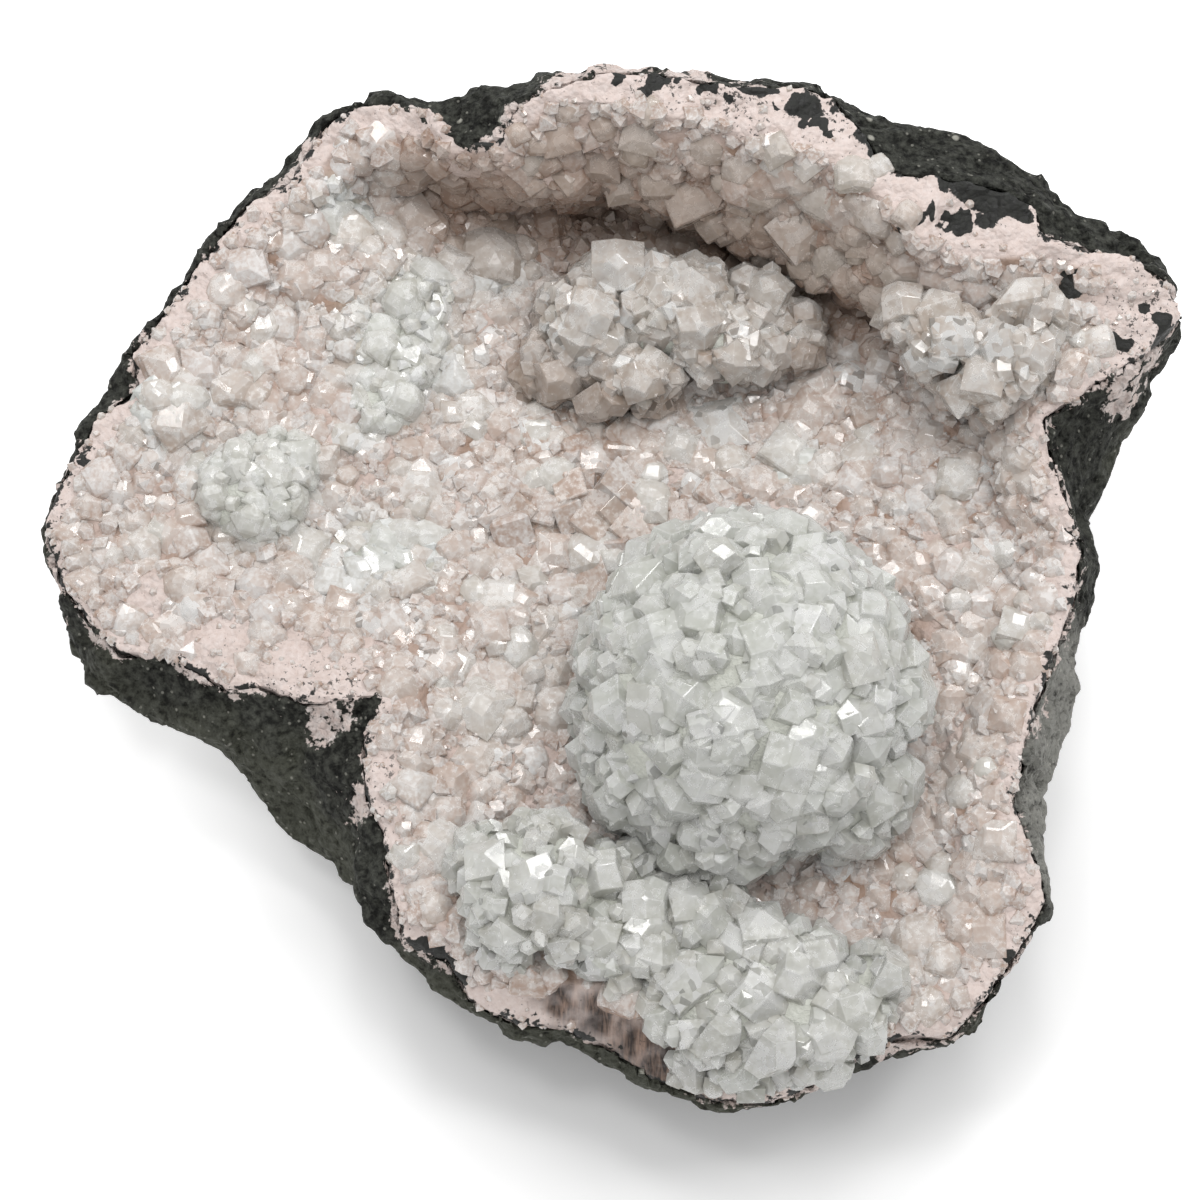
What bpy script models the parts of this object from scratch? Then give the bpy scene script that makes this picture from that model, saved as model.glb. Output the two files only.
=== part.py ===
# An apophyllite geode: a broken block of basalt whose open hollow is lined with a pink
# crystal crust. A ball and three clusters of apophyllite crystals sit on the crust.
# Lengths in this file are millimetres, turned into metres where a mesh is made. +Z is up.

import math
import random

import bmesh
import bpy
from mathutils import Matrix, Vector, noise
from mathutils.bvhtree import BVHTree

MM = 0.001

# Driving dimensions
HUB = (4.0, 26.0)  # every outline is star-shaped about this point
CENTRE_SHIFT = (-2.0, -5.0)  # brings the middle of the whole block's box to the origin
LONGEST_STEP = 8.0  # degrees between stations at most
SHORTEST_STEP = 2.2
GAP = 0.35  # between pieces that touch
BACK_GAP = 0.5  # behind the crust, where nothing shows
RIM_STEP = 0.5  # the basalt's inner edge lies this far under the crust's
CRUST_THICKNESS = 7.0
GROOVE_DEPTH = 3.0  # a floor this far under the lip begins to be overhung
EDGE_THICKNESS = 5.0  # of the crust where it is broken off along the rim
FLOOR_MIDDLE_HEIGHT = 36.0
ROCK_ROUGHNESS = 1.6  # how far the fracture faces stand in and out
ROOT_DEPTH = 3.0  # of a crystal in what it grows from
KITE_WIDTH = 11.5  # crystals wider than this end in kite faces

# Outlines, clockwise from the left end, each point (x, y, height)
# RIM is the line where basalt and crust meet on the broken top.
RIM = [
    (-122, 18, 43), (-120, 26, 44), (-115, 34, 45), (-110, 46, 46), (-103, 49, 46),
    (-105, 57, 48), (-96, 67, 50), (-89, 78, 52), (-79, 90, 55), (-69, 95, 57),
    (-61, 107, 62), (-54, 110, 64), (-46, 110, 66), (-38, 107, 69), (-35, 101, 69),
    (-29, 97, 70), (-22, 98, 72), (-18, 104, 77), (-11, 106, 80), (0, 109, 82),
    (9, 109, 82), (22, 107, 82), (30, 105, 82), (44, 106, 81), (51, 104, 80),
    (56, 97, 79), (63, 87, 78), (72, 86, 78), (87, 84, 76), (94, 80, 75),
    (96, 74, 74), (106, 71, 73), (116, 69, 72), (123, 65, 70), (127, 58, 68),
    (122, 52, 66), (116, 48, 65), (109, 42, 64), (96, 37, 61), (97, 32, 60),
    (100, 20, 59), (104, 9, 57), (102, -4, 55), (97, -16, 53), (93, -26, 52),
    (88, -46, 50), (87, -54, 49), (91, -60, 48), (95, -67, 47), (88, -78, 44),
    (81, -88, 42), (74, -95, 40), (63, -95, 38), (53, -99, 36), (47, -103, 34),
    (37, -107, 32), (24, -107, 31), (11, -102, 31), (4, -97, 32), (-9, -91, 33),
    (-18, -91, 34), (-28, -86, 35), (-32, -78, 37), (-42, -74, 38), (-48, -69, 41),
    (-45, -60, 43), (-46, -52, 43), (-53, -37, 45), (-51, -32, 45), (-46, -21, 46),
    (-54, -23, 46), (-64, -23, 45), (-71, -20, 44), (-82, -19, 43), (-93, -12, 43),
    (-105, -11, 42), (-113, -2, 42), (-119, 6, 42),
]
# BROW is the outer edge of the basalt's top.
BROW = [
    (-124, 13, 38), (-124, 21, 38), (-120, 32, 40), (-115, 43, 42), (-108, 54, 42),
    (-106, 59, 44), (-98, 70, 46), (-90, 82, 48), (-81, 94, 50), (-74, 98, 52),
    (-66, 106, 55), (-63, 110, 58), (-56, 113, 60), (-46, 114, 62), (-38, 111, 63),
    (-28, 113, 66), (-17, 113, 68), (-12, 114, 72), (0, 115, 74), (22, 113, 74),
    (32, 110, 74), (44, 111, 74), (51, 109, 73), (59, 103, 72), (66, 103, 72),
    (80, 100, 70), (88, 96, 70), (95, 93, 69), (101, 85, 67), (110, 81, 66),
    (121, 75, 64), (126, 69, 62), (130, 63, 58), (127, 56, 52), (122, 48, 46),
    (118, 40, 42), (114, 32, 38), (110, 26, 38), (107, 19, 40), (110, 7, 42),
    (104, -2, 42), (106, -13, 38), (104, -21, 36), (100, -30, 35), (97, -40, 35),
    (96, -49, 36), (94, -56, 40), (98, -63, 40), (97, -69, 39), (89, -79, 38),
    (82, -90, 36), (75, -97, 33), (64, -98, 31), (54, -101, 30), (47, -105, 29),
    (37, -109, 27), (24, -109, 25), (9, -103, 25), (0, -98, 25), (-9, -94, 25),
    (-18, -93, 26), (-29, -88, 28), (-42, -77, 30), (-51, -69, 32), (-53, -62, 34),
    (-51, -54, 38), (-52, -44, 40), (-57, -36, 40), (-65, -31, 38), (-81, -30, 36),
    (-96, -24, 32), (-105, -20, 31), (-113, -16, 31), (-115, -10, 33), (-120, 5, 36),
]
# HAUNCH is the widest line of the block below its brow, and FOOT the flat it rests on.
HAUNCH = [
    (-123, 22, 22), (-121, 39, 22), (-108, 55, 24), (-90, 82, 26), (-70, 105, 30),
    (-46, 116, 34), (-19, 118, 36), (9, 119, 38), (37, 118, 38), (65, 111, 38),
    (92, 101, 38), (114, 85, 36), (126, 70, 30), (119, 50, 24), (108, 27, 22),
    (108, 10, 22), (105, -13, 18), (98, -33, 18), (91, -50, 20), (90, -66, 20),
    (79, -82, 18), (61, -91, 16), (37, -98, 14), (17, -96, 12), (-2, -90, 12),
    (-20, -83, 12), (-38, -71, 14), (-50, -63, 16), (-55, -56, 16), (-67, -48, 16),
    (-77, -39, 20), (-82, -30, 24), (-94, -23, 22), (-107, -16, 22), (-117, -4, 22),
]
FOOT = [
    (-105, 29, 0), (-97, 52, 0), (-81, 77, 0), (-53, 101, 0), (-19, 111, 0),
    (19, 113, 0), (55, 107, 0), (86, 90, 0), (104, 65, 0), (103, 34, 0), (97, 2, 0),
    (89, -29, 0), (75, -52, 0), (52, -70, 0), (22, -80, 0), (-7, -76, 0),
    (-34, -64, 0), (-52, -50, 0), (-71, -33, 0), (-87, -14, 0), (-102, 5, 0),
]
# SHELF is the inner edge of the broken band that runs along the rim, at its widest
# on the far side and along the front, where it is the crust's own broken section.
SHELF = [
    (-117, 17, 44), (-115, 28, 45), (-104, 39, 47), (-97, 54, 50), (-86, 68, 52),
    (-75, 84, 55), (-64, 94, 58), (-57, 104, 61), (-44, 104, 65), (-35, 98, 66),
    (-22, 94, 69), (-15, 100, 76), (-9, 103, 79), (0, 102, 81), (11, 99, 81),
    (22, 99, 80), (33, 93, 80), (43, 91, 79), (53, 89, 78), (60, 82, 77),
    (68, 73, 75), (76, 69, 73), (85, 69, 71), (93, 70, 72), (106, 67, 72),
    (115, 62, 70), (111, 52, 67), (100, 43, 64), (93, 36, 61), (93, 30, 58),
    (96, 19, 56), (99, 9, 55), (98, -1, 54), (93, -14, 52), (88, -27, 51),
    (85, -39, 49), (83, -52, 47), (87, -63, 46), (85, -73, 44), (76, -85, 42),
    (69, -91, 41), (55, -94, 40), (40, -101, 38), (27, -102, 38), (19, -96, 40),
    (9, -89, 41), (0, -84, 41), (-13, -84, 41), (-23, -80, 41), (-30, -74, 42),
    (-39, -69, 42), (-41, -60, 43), (-42, -51, 44), (-46, -41, 45), (-46, -33, 46),
    (-42, -21, 46), (-54, -19, 46), (-67, -18, 45), (-83, -13, 44), (-98, -9, 43),
    (-108, -2, 43), (-114, 6, 43),
]
# LIP is the lower edge of the wall under that band. On the far side it overhangs.
LIP = [
    (-112, 16, 43), (-110, 28, 44), (-98, 39, 46), (-91, 53, 48), (-80, 66, 50),
    (-70, 81, 53), (-60, 92, 56), (-55, 99, 59), (-45, 100, 61), (-33, 95, 61),
    (-22, 92, 61), (-9, 92, 60), (0, 93, 58), (11, 90, 56), (22, 86, 54),
    (30, 83, 52), (36, 80, 51), (45, 75, 50), (51, 72, 50), (59, 68, 50),
    (66, 64, 52), (67, 56, 54), (71, 48, 56), (76, 43, 56), (88, 38, 56),
    (90, 34, 56), (90, 29, 54), (92, 19, 53), (94, 9, 52), (92, -2, 51),
    (87, -13, 50), (83, -26, 48), (80, -39, 46), (78, -51, 44), (82, -64, 43),
    (76, -75, 42), (68, -83, 41), (53, -90, 40), (40, -95, 38), (30, -97, 38),
    (21, -89, 39), (11, -82, 40), (0, -78, 40), (-13, -78, 40), (-22, -73, 40),
    (-31, -67, 41), (-36, -60, 42), (-37, -49, 43), (-41, -38, 44), (-40, -29, 44),
    (-38, -18, 44), (-54, -12, 44), (-68, -11, 43), (-83, -6, 43), (-96, -1, 42),
    (-105, 6, 42),
]
# FLOOR is where the hollow's floor begins, recessed behind the overhanging lip.
FLOOR = [
    (-106, 16, 42), (-104, 29, 43), (-91, 40, 44), (-85, 54, 46), (-75, 65, 47),
    (-66, 79, 49), (-57, 89, 50), (-52, 96, 48), (-43, 98, 44), (-34, 97, 41),
    (-23, 96, 39), (-9, 98, 37), (0, 98, 36), (12, 96, 36), (23, 92, 36),
    (31, 89, 36), (37, 86, 36), (46, 81, 36), (52, 78, 37), (61, 75, 38),
    (70, 70, 40), (73, 62, 42), (76, 53, 43), (80, 47, 44), (86, 39, 46),
    (86, 33, 48), (86, 26, 48), (89, 11, 47), (87, -1, 46), (83, -11, 45),
    (79, -25, 44), (76, -38, 42), (73, -51, 41), (76, -64, 40), (70, -73, 39),
    (62, -79, 38), (51, -84, 37), (40, -88, 36), (30, -90, 36), (21, -84, 37),
    (11, -76, 38), (0, -72, 38), (-13, -72, 38), (-23, -68, 38), (-29, -62, 39),
    (-32, -55, 40), (-33, -46, 41), (-36, -35, 42), (-36, -28, 42), (-34, -16, 42),
    (-54, -6, 42), (-68, -5, 42), (-81, 0, 42), (-92, 4, 42), (-100, 9, 42),
]

# The ball: centre, and half-sizes of its core; the crystals stand out of that
BALL_CENTRE = (32, -21, 46)
BALL_CORE = (37.5, 39, 33)
BALL_REACH = 5.0
BALL_CRYSTALS = 38

# Each cluster: lobes (centre x, y, z, half-sizes) and how many crystals stand on them
UPPER_LOBES = [((-3, 66, 42), (12, 13, 13)), ((17, 67, 43), (18, 14, 16)), ((36, 71, 41), (9, 9, 10))]
RIGHT_LOBES = [((76, 54, 63), (10, 9, 8)), ((89, 49, 65), (11, 10, 8))]
FRONT_LOBES = [
    ((-14, -64, 44), (14, 15, 12)), ((9, -76, 41), (14, 12, 9)), ((27, -87, 39), (16, 15, 10)),
    ((48, -89, 39), (15, 13, 9)),
]
UPPER_CRYSTALS, RIGHT_CRYSTALS, FRONT_CRYSTALS = 14, 8, 17

# Low mounds of apophyllite grown into the crust on the left
MOUND_LOBES = [((-44, 66, 44), (11, 15, 5)), ((-72, 28, 44), (13, 11, 7))]
MOUND_CRYSTALS = 10

# Single large crystals of the crust: x, y, width, standing height
LARGE_CRYSTALS = [
    (-25, 84, 15, 9), (-57, 88, 11, 7), (-94, 44, 13, 7), (-82, 52, 11, 6), (-2, 13, 12, 8),
    (21, 88, 9, 5), (0, 96, 8, 4), (-18, 85, 8, 5), (27, 42, 13, 8), (42, 36, 11, 6),
    (79, 29, 10, 7), (82, 7, 10, 7), (81, -9, 10, 6), (90, -5, 8, 6), (78, -42, 9, 5),
    (72, -64, 10, 6), (68, -75, 12, 8), (58, 34, 11, 6), (11, 26, 10, 6), (-26, -24, 12, 8),
    (-31, -14, 9, 6), (-18, -10, 9, 6), (-34, -54, 11, 7), (-65, 13, 10, 6), (-101, 14, 9, 5),
    (-40, 28, 10, 6), (-10, 30, 10, 6), (-22, 2, 11, 6), (50, 82, 9, 5), (62, 72, 10, 7),
    (-42, 6, 9, 5), (-29, 46, 9, 5), (-14, 40, 9, 6), (-76, 66, 9, 5), (-90, 28, 9, 5),
    (-56, 40, 9, 5), (108, 60, 8, 4), (-48, 88, 9, 5),
]
MEDIUM_CRYSTALS = 16
MEDIUM_SPACING = 12.0


def outline_point(outline, angle):
    # Radius and height where the ray from the hub at this angle crosses an outline
    along = Vector((math.cos(angle), math.sin(angle)))
    found = None
    for (ax, ay, az), (bx, by, bz) in zip(outline, outline[1:] + outline[:1]):
        a = Vector((ax - HUB[0], ay - HUB[1]))
        b = Vector((bx - HUB[0], by - HUB[1]))
        side_a = a.x * along.y - a.y * along.x
        side_b = b.x * along.y - b.y * along.x
        if side_a * side_b > 0 or side_a == side_b:
            continue
        share = side_a / (side_a - side_b)
        radius = a.lerp(b, share).dot(along)
        if radius > 0 and (found is None or radius > found[0]):
            found = (radius, az + (bz - az) * share)
    return found


def station_angles():
    # A station at each corner of the rim, and more between corners that are far apart
    corners = sorted(math.atan2(y - HUB[1], x - HUB[0]) for x, y, _ in RIM)
    kept = []
    for angle in corners:
        if not kept or math.degrees(angle - kept[-1]) >= SHORTEST_STEP:
            kept.append(angle)
    angles = []
    for here, after in zip(kept, kept[1:] + [kept[0] + math.tau]):
        parts = max(1, math.ceil(math.degrees(after - here) / LONGEST_STEP))
        angles += [here + (after - here) * i / parts for i in range(parts)]
    return angles


ANGLES = station_angles()


def ring(outline):
    return [outline_point(outline, angle) for angle in ANGLES]


def moved(points, outward, up):
    return [(radius + outward, height + up) for radius, height in points]


def between(first, second, share):
    return [
        (a[0] + (b[0] - a[0]) * share, a[1] + (b[1] - a[1]) * share)
        for a, b in zip(first, second)
    ]


def shrunk(points, share):
    # The floor's ring drawn in towards the hub, sinking to the floor's middle height
    sink = share**1.5
    return [(r * share, FLOOR_MIDDLE_HEIGHT + (z - FLOOR_MIDDLE_HEIGHT) * sink) for r, z in points]


def roughened(points, seed):
    # Fracture faces: each corner of the ring stands a little in or out
    rough = []
    for (radius, height), angle in zip(points, ANGLES):
        x, y = radius * math.cos(angle), radius * math.sin(angle)
        push = noise.noise(Vector((x * 0.11, y * 0.11, height * 0.11 + seed)))
        rough.append((radius + push * 2 * ROCK_ROUGHNESS, height + push * ROCK_ROUGHNESS))
    return rough


def point_at(radius, height, angle):
    x = HUB[0] + CENTRE_SHIFT[0] + radius * math.cos(angle)
    y = HUB[1] + CENTRE_SHIFT[1] + radius * math.sin(angle)
    return Vector((x, y, height)) * MM


def add_object(name, shape):
    mesh = bpy.data.meshes.new(name)
    shape.to_mesh(mesh)
    shape.free()
    made = bpy.data.objects.new(name, mesh)
    bpy.context.scene.collection.objects.link(made)
    return made


def rows_of(rings):
    return [[point_at(r, z, angle) for (r, z), angle in zip(points, ANGLES)] for points in rings]


def lofted(name, places, first_place, last_place, flipped=0):
    # A closed solid through rows of stations, with a fan to the hub at each end.
    # The first few bands have their diagonals flipped, where the rows run backwards.
    shape = bmesh.new()
    first = shape.verts.new(first_place)
    last = shape.verts.new(last_place)
    rows = [[shape.verts.new(place) for place in row] for row in places]
    count = len(ANGLES)
    for i in range(count):
        j = (i + 1) % count
        shape.faces.new((first, rows[0][i], rows[0][j]))
        shape.faces.new((last, rows[-1][j], rows[-1][i]))
        for band, (lower, upper) in enumerate(zip(rows, rows[1:])):
            if (i % 2 == 1) != (band < flipped):
                shape.faces.new((lower[i], upper[i], lower[j]))
                shape.faces.new((lower[j], upper[i], upper[j]))
            else:
                shape.faces.new((lower[i], upper[i], upper[j]))
                shape.faces.new((lower[i], upper[j], lower[j]))
    bmesh.ops.recalc_face_normals(shape, faces=shape.faces)
    return add_object(name, shape)


RIM_RING, SHELF_RING, LIP_RING, FLOOR_RING = ring(RIM), ring(SHELF), ring(LIP), ring(FLOOR)


def crust_top():
    inner = [shrunk(FLOOR_RING, share) for share in (0.62, 0.28)]
    return [RIM_RING, SHELF_RING, LIP_RING, FLOOR_RING] + inner


def crust_back():
    # The crust's hidden back, from the rim down to the floor and in to the hub
    lip_back, floor_back = [], []
    for (lip_r, lip_z), (floor_r, floor_z) in zip(LIP_RING, FLOOR_RING):
        overhang = min(max((lip_z - floor_z - GROOVE_DEPTH) / CRUST_THICKNESS, 0), 1)
        wall_r = lip_r + (max(lip_r, floor_r) + 4 - lip_r) * overhang
        wall_z = lip_z - CRUST_THICKNESS
        lip_back.append((wall_r, wall_z + ((lip_z + floor_z) / 2 - wall_z) * overhang))
        floor_back.append((floor_r + 3 * overhang, floor_z - CRUST_THICKNESS))
    edge = moved(RIM_RING, 0, -EDGE_THICKNESS)
    shelf_back = moved(SHELF_RING, 0, -CRUST_THICKNESS)
    inner = moved(shrunk(FLOOR_RING, 0.5), 0, -CRUST_THICKNESS)
    return [edge, shelf_back, lip_back, floor_back, inner]


def crust_solid():
    # The crust before its crystals: its top from the hub out, then its back to the hub
    top = crust_top()
    middle = point_at(0, FLOOR_MIDDLE_HEIGHT, 0)
    back = point_at(0, FLOOR_MIDDLE_HEIGHT - CRUST_THICKNESS, 0)
    rows = rows_of(list(reversed(top)) + crust_back())
    return lofted("crystal_crust", rows, middle, back, flipped=len(top) - 1)


def block(name, crust, rim_gap, back_gap):
    # The block: its flat foot, its fracture faces, and the hollow that the crust lines
    foot, haunch, brow = ring(FOOT), ring(HAUNCH), ring(BROW)
    wall = [foot, roughened(haunch, 2), roughened(between(haunch, brow, 0.55), 3), brow]
    rows = rows_of(wall + [moved(RIM_RING, rim_gap, -RIM_STEP)])
    behind = [vert.co + vert.normal * back_gap * MM for vert in crust.data.vertices]
    count = len(ANGLES)
    for row in range(len(crust_top()), len(crust_top()) + len(crust_back())):
        start = 2 + row * count
        rows.append(behind[start : start + count])
    return lofted(name, rows, point_at(0, 0, 0), behind[1])


def seating_plug():
    # All that lies under the crust's top and the basalt's, which a cluster sits on
    lift = GAP + 0.05
    brow = ring(BROW)
    outside = [moved(brow, 12, -60), moved(brow, 12, lift - 6), moved(brow, GAP, lift)]
    outside.append(moved(RIM_RING, 2 * GAP, lift))
    rings = outside + [moved(points, 0, lift) for points in crust_top()]
    top = point_at(0, FLOOR_MIDDLE_HEIGHT + lift, 0)
    return lofted("seating_plug", rows_of(rings), point_at(0, -60, 0), top)


def crystal(shape, foot, axis, width, standing, slope, turn, kites):
    # A square prism under four faces that meet in a point: kites that stand on the
    # prism's edges, as on a large crystal, or triangles that stand on its sides
    half = width / 2
    top = ROOT_DEPTH + standing
    square = [(1, 1), (-1, 1), (-1, -1), (1, -1)]
    middles = [(0, 1), (-1, 0), (0, -1), (1, 0)]
    base = [shape.verts.new((x * half, y * half, 0)) for x, y in square]
    corner_height = max(top - (2 if kites else 1) * slope * half, 1)
    corners = [shape.verts.new((x * half, y * half, corner_height)) for x, y in square]
    tip = shape.verts.new((0, 0, top))
    sides = []
    if kites:
        side_height = (top + corner_height) / 2
        sides = [shape.verts.new((x * half, y * half, side_height)) for x, y in middles]
    shape.faces.new(reversed(base))
    for i in range(4):
        last = i - 1
        wall = (base[last], base[i], corners[i])
        if kites:
            shape.faces.new((*wall, sides[last], corners[last]))
            shape.faces.new((corners[i], sides[i], tip, sides[last]))
        else:
            shape.faces.new((*wall, corners[last]))
            shape.faces.new((corners[last], corners[i], tip))
    made = base + corners + sides + [tip]
    rotate = axis.to_track_quat("Z", "Y").to_matrix().to_4x4() @ Matrix.Rotation(turn, 4, "Z")
    place = Matrix.Translation(foot - axis * ROOT_DEPTH) @ rotate
    for vert in made:
        vert.co = (place @ vert.co + Vector((*CENTRE_SHIFT, 0))) * MM


def combined(target, tools, operation):
    # One Boolean with a whole group of tools, applied
    group = bpy.data.collections.new("tools")
    for tool in tools:
        group.objects.link(tool)
    boolean = target.modifiers.new(operation.title(), "BOOLEAN")
    boolean.operation = operation
    boolean.solver = "EXACT"
    boolean.operand_type = "COLLECTION"
    boolean.collection = group
    evaluated = target.evaluated_get(bpy.context.evaluated_depsgraph_get())
    result = bpy.data.meshes.new_from_object(evaluated)
    target.modifiers.clear()
    target.data = result
    for tool in tools:
        bpy.data.objects.remove(tool)
    bpy.data.collections.remove(group)


def crystal_object(*form):
    shape = bmesh.new()
    crystal(shape, *form)
    return add_object("crystal", shape)


def lobe_object(centre, halves, detail):
    shape = bmesh.new()
    bmesh.ops.create_icosphere(shape, subdivisions=detail, radius=1)
    for vert in shape.verts:
        lump = 1 + 0.05 * noise.noise(vert.co * 2.3 + Vector(centre))
        at = [c + h * v * lump for c, h, v in zip(centre, halves, vert.co)]
        vert.co = (Vector(at) + Vector((*CENTRE_SHIFT, 0))) * MM
    return add_object("lobe", shape)


def lobe_crystals(rng, lobes, count, widths, reach, lowest):
    # Crystals spread evenly over the outside of some lobes, pointing outwards
    total = sum(h[0] * h[1] for _, h in lobes)
    made = []
    for centre, halves in lobes:
        share = max(3, round(count * halves[0] * halves[1] / total))
        spread = round(share * 1.5)
        for i in range(spread):
            up = 1 - 2 * (i + 0.5) / spread
            if up < lowest:
                continue
            around = i * math.pi * (3 - math.sqrt(5)) + rng.uniform(-0.2, 0.2)
            flat = math.sqrt(1 - up * up)
            way = Vector((flat * math.cos(around), flat * math.sin(around), up))
            foot = Vector([c + h * w for c, h, w in zip(centre, halves, way)])
            if any(inside(foot, c, h) for c, h in lobes if c != centre):
                continue
            axis = Vector([w / h for w, h in zip(way, halves)]).normalized()
            lean = Vector([rng.uniform(-0.22, 0.22) for _ in range(3)])
            axis = (axis + lean).normalized()
            width = rng.uniform(*widths)
            form = (foot, axis, width, reach * rng.uniform(0.7, 1.0), rng.uniform(0.6, 0.9))
            made.append(crystal_object(*form, rng.uniform(0, math.tau), width > KITE_WIDTH))
    return made


def inside(point, centre, halves):
    return sum(((p - c) / h) ** 2 for p, c, h in zip(point, centre, halves)) < 0.9


def cluster(name, lobes, count, widths, reach, seed, cut_by, detail=2, lowest=-0.1):
    rng = random.Random(seed)
    body = lobe_object(*lobes[0], detail)
    body.name = name
    body.data.name = name
    parts = [lobe_object(*lobe, detail) for lobe in lobes[1:]]
    parts += lobe_crystals(rng, lobes, count, widths, reach, lowest)
    combined(body, parts, "UNION")
    combined(body, cut_by, "DIFFERENCE")
    return body


def ball_clearance():
    # The space that the ball and its crystals fill, which the front cluster leaves free
    halves = [half + BALL_REACH + 2 * GAP for half in BALL_CORE]
    shape = bmesh.new()
    bmesh.ops.create_icosphere(shape, subdivisions=3, radius=1)
    for vert in shape.verts:
        at = [c + h * v for c, h, v in zip(BALL_CENTRE, halves, vert.co)]
        vert.co = (Vector(at) + Vector((*CENTRE_SHIFT, 0))) * MM
    return add_object("ball_clearance", shape)


def near_lobes(x, y, lobes, margin):
    return any(
        ((x - c[0]) / (h[0] + margin)) ** 2 + ((y - c[1]) / (h[1] + margin)) ** 2 < 1
        for c, h in lobes
    )


def inside_rim(x, y, margin):
    angle = math.atan2(y - HUB[1], x - HUB[0])
    return math.hypot(x - HUB[0], y - HUB[1]) + margin < outline_point(SHELF, angle)[0]


def crust_crystals(crust):
    # The large crystals where they stand, and medium ones scattered between them
    rng = random.Random(7)
    shape = bmesh.new()
    shape.from_mesh(crust.data)
    surface = BVHTree.FromBMesh(shape)
    shape.free()
    ball = [(BALL_CENTRE, [half + BALL_REACH for half in BALL_CORE])]
    others = [(c, [h + 4 for h in halves]) for c, halves in UPPER_LOBES + RIGHT_LOBES + FRONT_LOBES]
    taken, made = [], []

    def stand(x, y, width, standing, lean):
        above = Vector((x + CENTRE_SHIFT[0], y + CENTRE_SHIFT[1], 150)) * MM
        hit, normal, _, _ = surface.ray_cast(above, Vector((0, 0, -1)))
        if hit is None or normal.z < 0.25:
            return
        axis = (normal + Vector((0, 0, 0.6))).normalized()
        axis = (axis + Vector((rng.uniform(-lean, lean), rng.uniform(-lean, lean), 0))).normalized()
        foot = Vector((x, y, hit.z / MM))
        form = (foot, axis, width, standing, rng.uniform(0.6, 0.9))
        made.append(crystal_object(*form, rng.uniform(0, math.tau), width > KITE_WIDTH))
        taken.append((x, y, width))

    for x, y, width, standing in LARGE_CRYSTALS:
        stand(x, y, width, standing, 0.15)
    tries = 0
    while tries < 6000 and len(made) < len(LARGE_CRYSTALS) + MEDIUM_CRYSTALS:
        tries += 1
        x, y, width = rng.uniform(-120, 125), rng.uniform(-100, 110), rng.uniform(5.5, 9)
        clear = width * 0.7 + 2.5
        if not inside_rim(x, y, width * 0.7 + 0.5):
            continue
        if near_lobes(x, y, ball + others, clear) or near_lobes(x, y, MOUND_LOBES, 1):
            continue
        if any(math.hypot(x - a, y - b) < max(MEDIUM_SPACING, (width + w) * 0.55) for a, b, w in taken):
            continue
        stand(x, y, width, width * rng.uniform(0.45, 0.7), 0.3)
    return made


def material(name, colour, roughness, clear=0.0):
    made = bpy.data.materials.new(name)
    made.use_nodes = True
    shader = made.node_tree.nodes["Principled BSDF"]
    shader.inputs["Base Color"].default_value = (*colour, 1)
    shader.inputs["Roughness"].default_value = roughness
    shader.inputs["Metallic"].default_value = 0
    shader.inputs["Transmission Weight"].default_value = clear
    made.diffuse_color = (*colour, 1)
    return made


def give(made, finish):
    made.data.materials.clear()
    made.data.materials.append(finish)


def build():
    for old in list(bpy.data.objects):
        bpy.data.objects.remove(old)

    crust = crust_solid()
    basalt = block("basalt_matrix", crust, GAP, BACK_GAP)
    bed = block("bed", crust, GAP * 0.4, BACK_GAP * 0.4)
    give(basalt, material("basalt", (0.045, 0.048, 0.043), 0.85))
    mounds = [lobe_object(*lobe, 2) for lobe in MOUND_LOBES]
    mounds += lobe_crystals(random.Random(5), MOUND_LOBES, MOUND_CRYSTALS, (6, 8), 4, 0.45)
    combined(crust, crust_crystals(crust) + mounds, "UNION")
    combined(crust, [bed], "DIFFERENCE")  # roots stay inside the crust
    give(crust, material("pink_crust", (0.68, 0.52, 0.47), 0.4, 0.2))

    clear = material("apophyllite", (0.60, 0.63, 0.58), 0.2, 0.4)
    ball_lobe = [(BALL_CENTRE, BALL_CORE)]
    pieces = [
        cluster("apophyllite_ball", ball_lobe, BALL_CRYSTALS, (8, 12), BALL_REACH, 11,
                [seating_plug()], 2, -0.3),
        cluster("upper_cluster", UPPER_LOBES, UPPER_CRYSTALS, (8, 11), 5, 12, [seating_plug()]),
        cluster("right_cluster", RIGHT_LOBES, RIGHT_CRYSTALS, (7, 10), 5, 13, [seating_plug()]),
        cluster("front_cluster", FRONT_LOBES, FRONT_CRYSTALS, (9, 12), 5, 14,
                [seating_plug(), ball_clearance()]),
    ]
    for piece in pieces:
        give(piece, clear)


build()
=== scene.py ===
# The apophyllite geode: a broken block of basalt, the pink crystal crust that lines its
# hollow, and the ball and clusters of pale apophyllite that stand on the crust.
import math
import random

import bmesh
import bpy
import numpy as np
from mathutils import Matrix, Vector, noise
from mathutils.bvhtree import BVHTree


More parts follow.
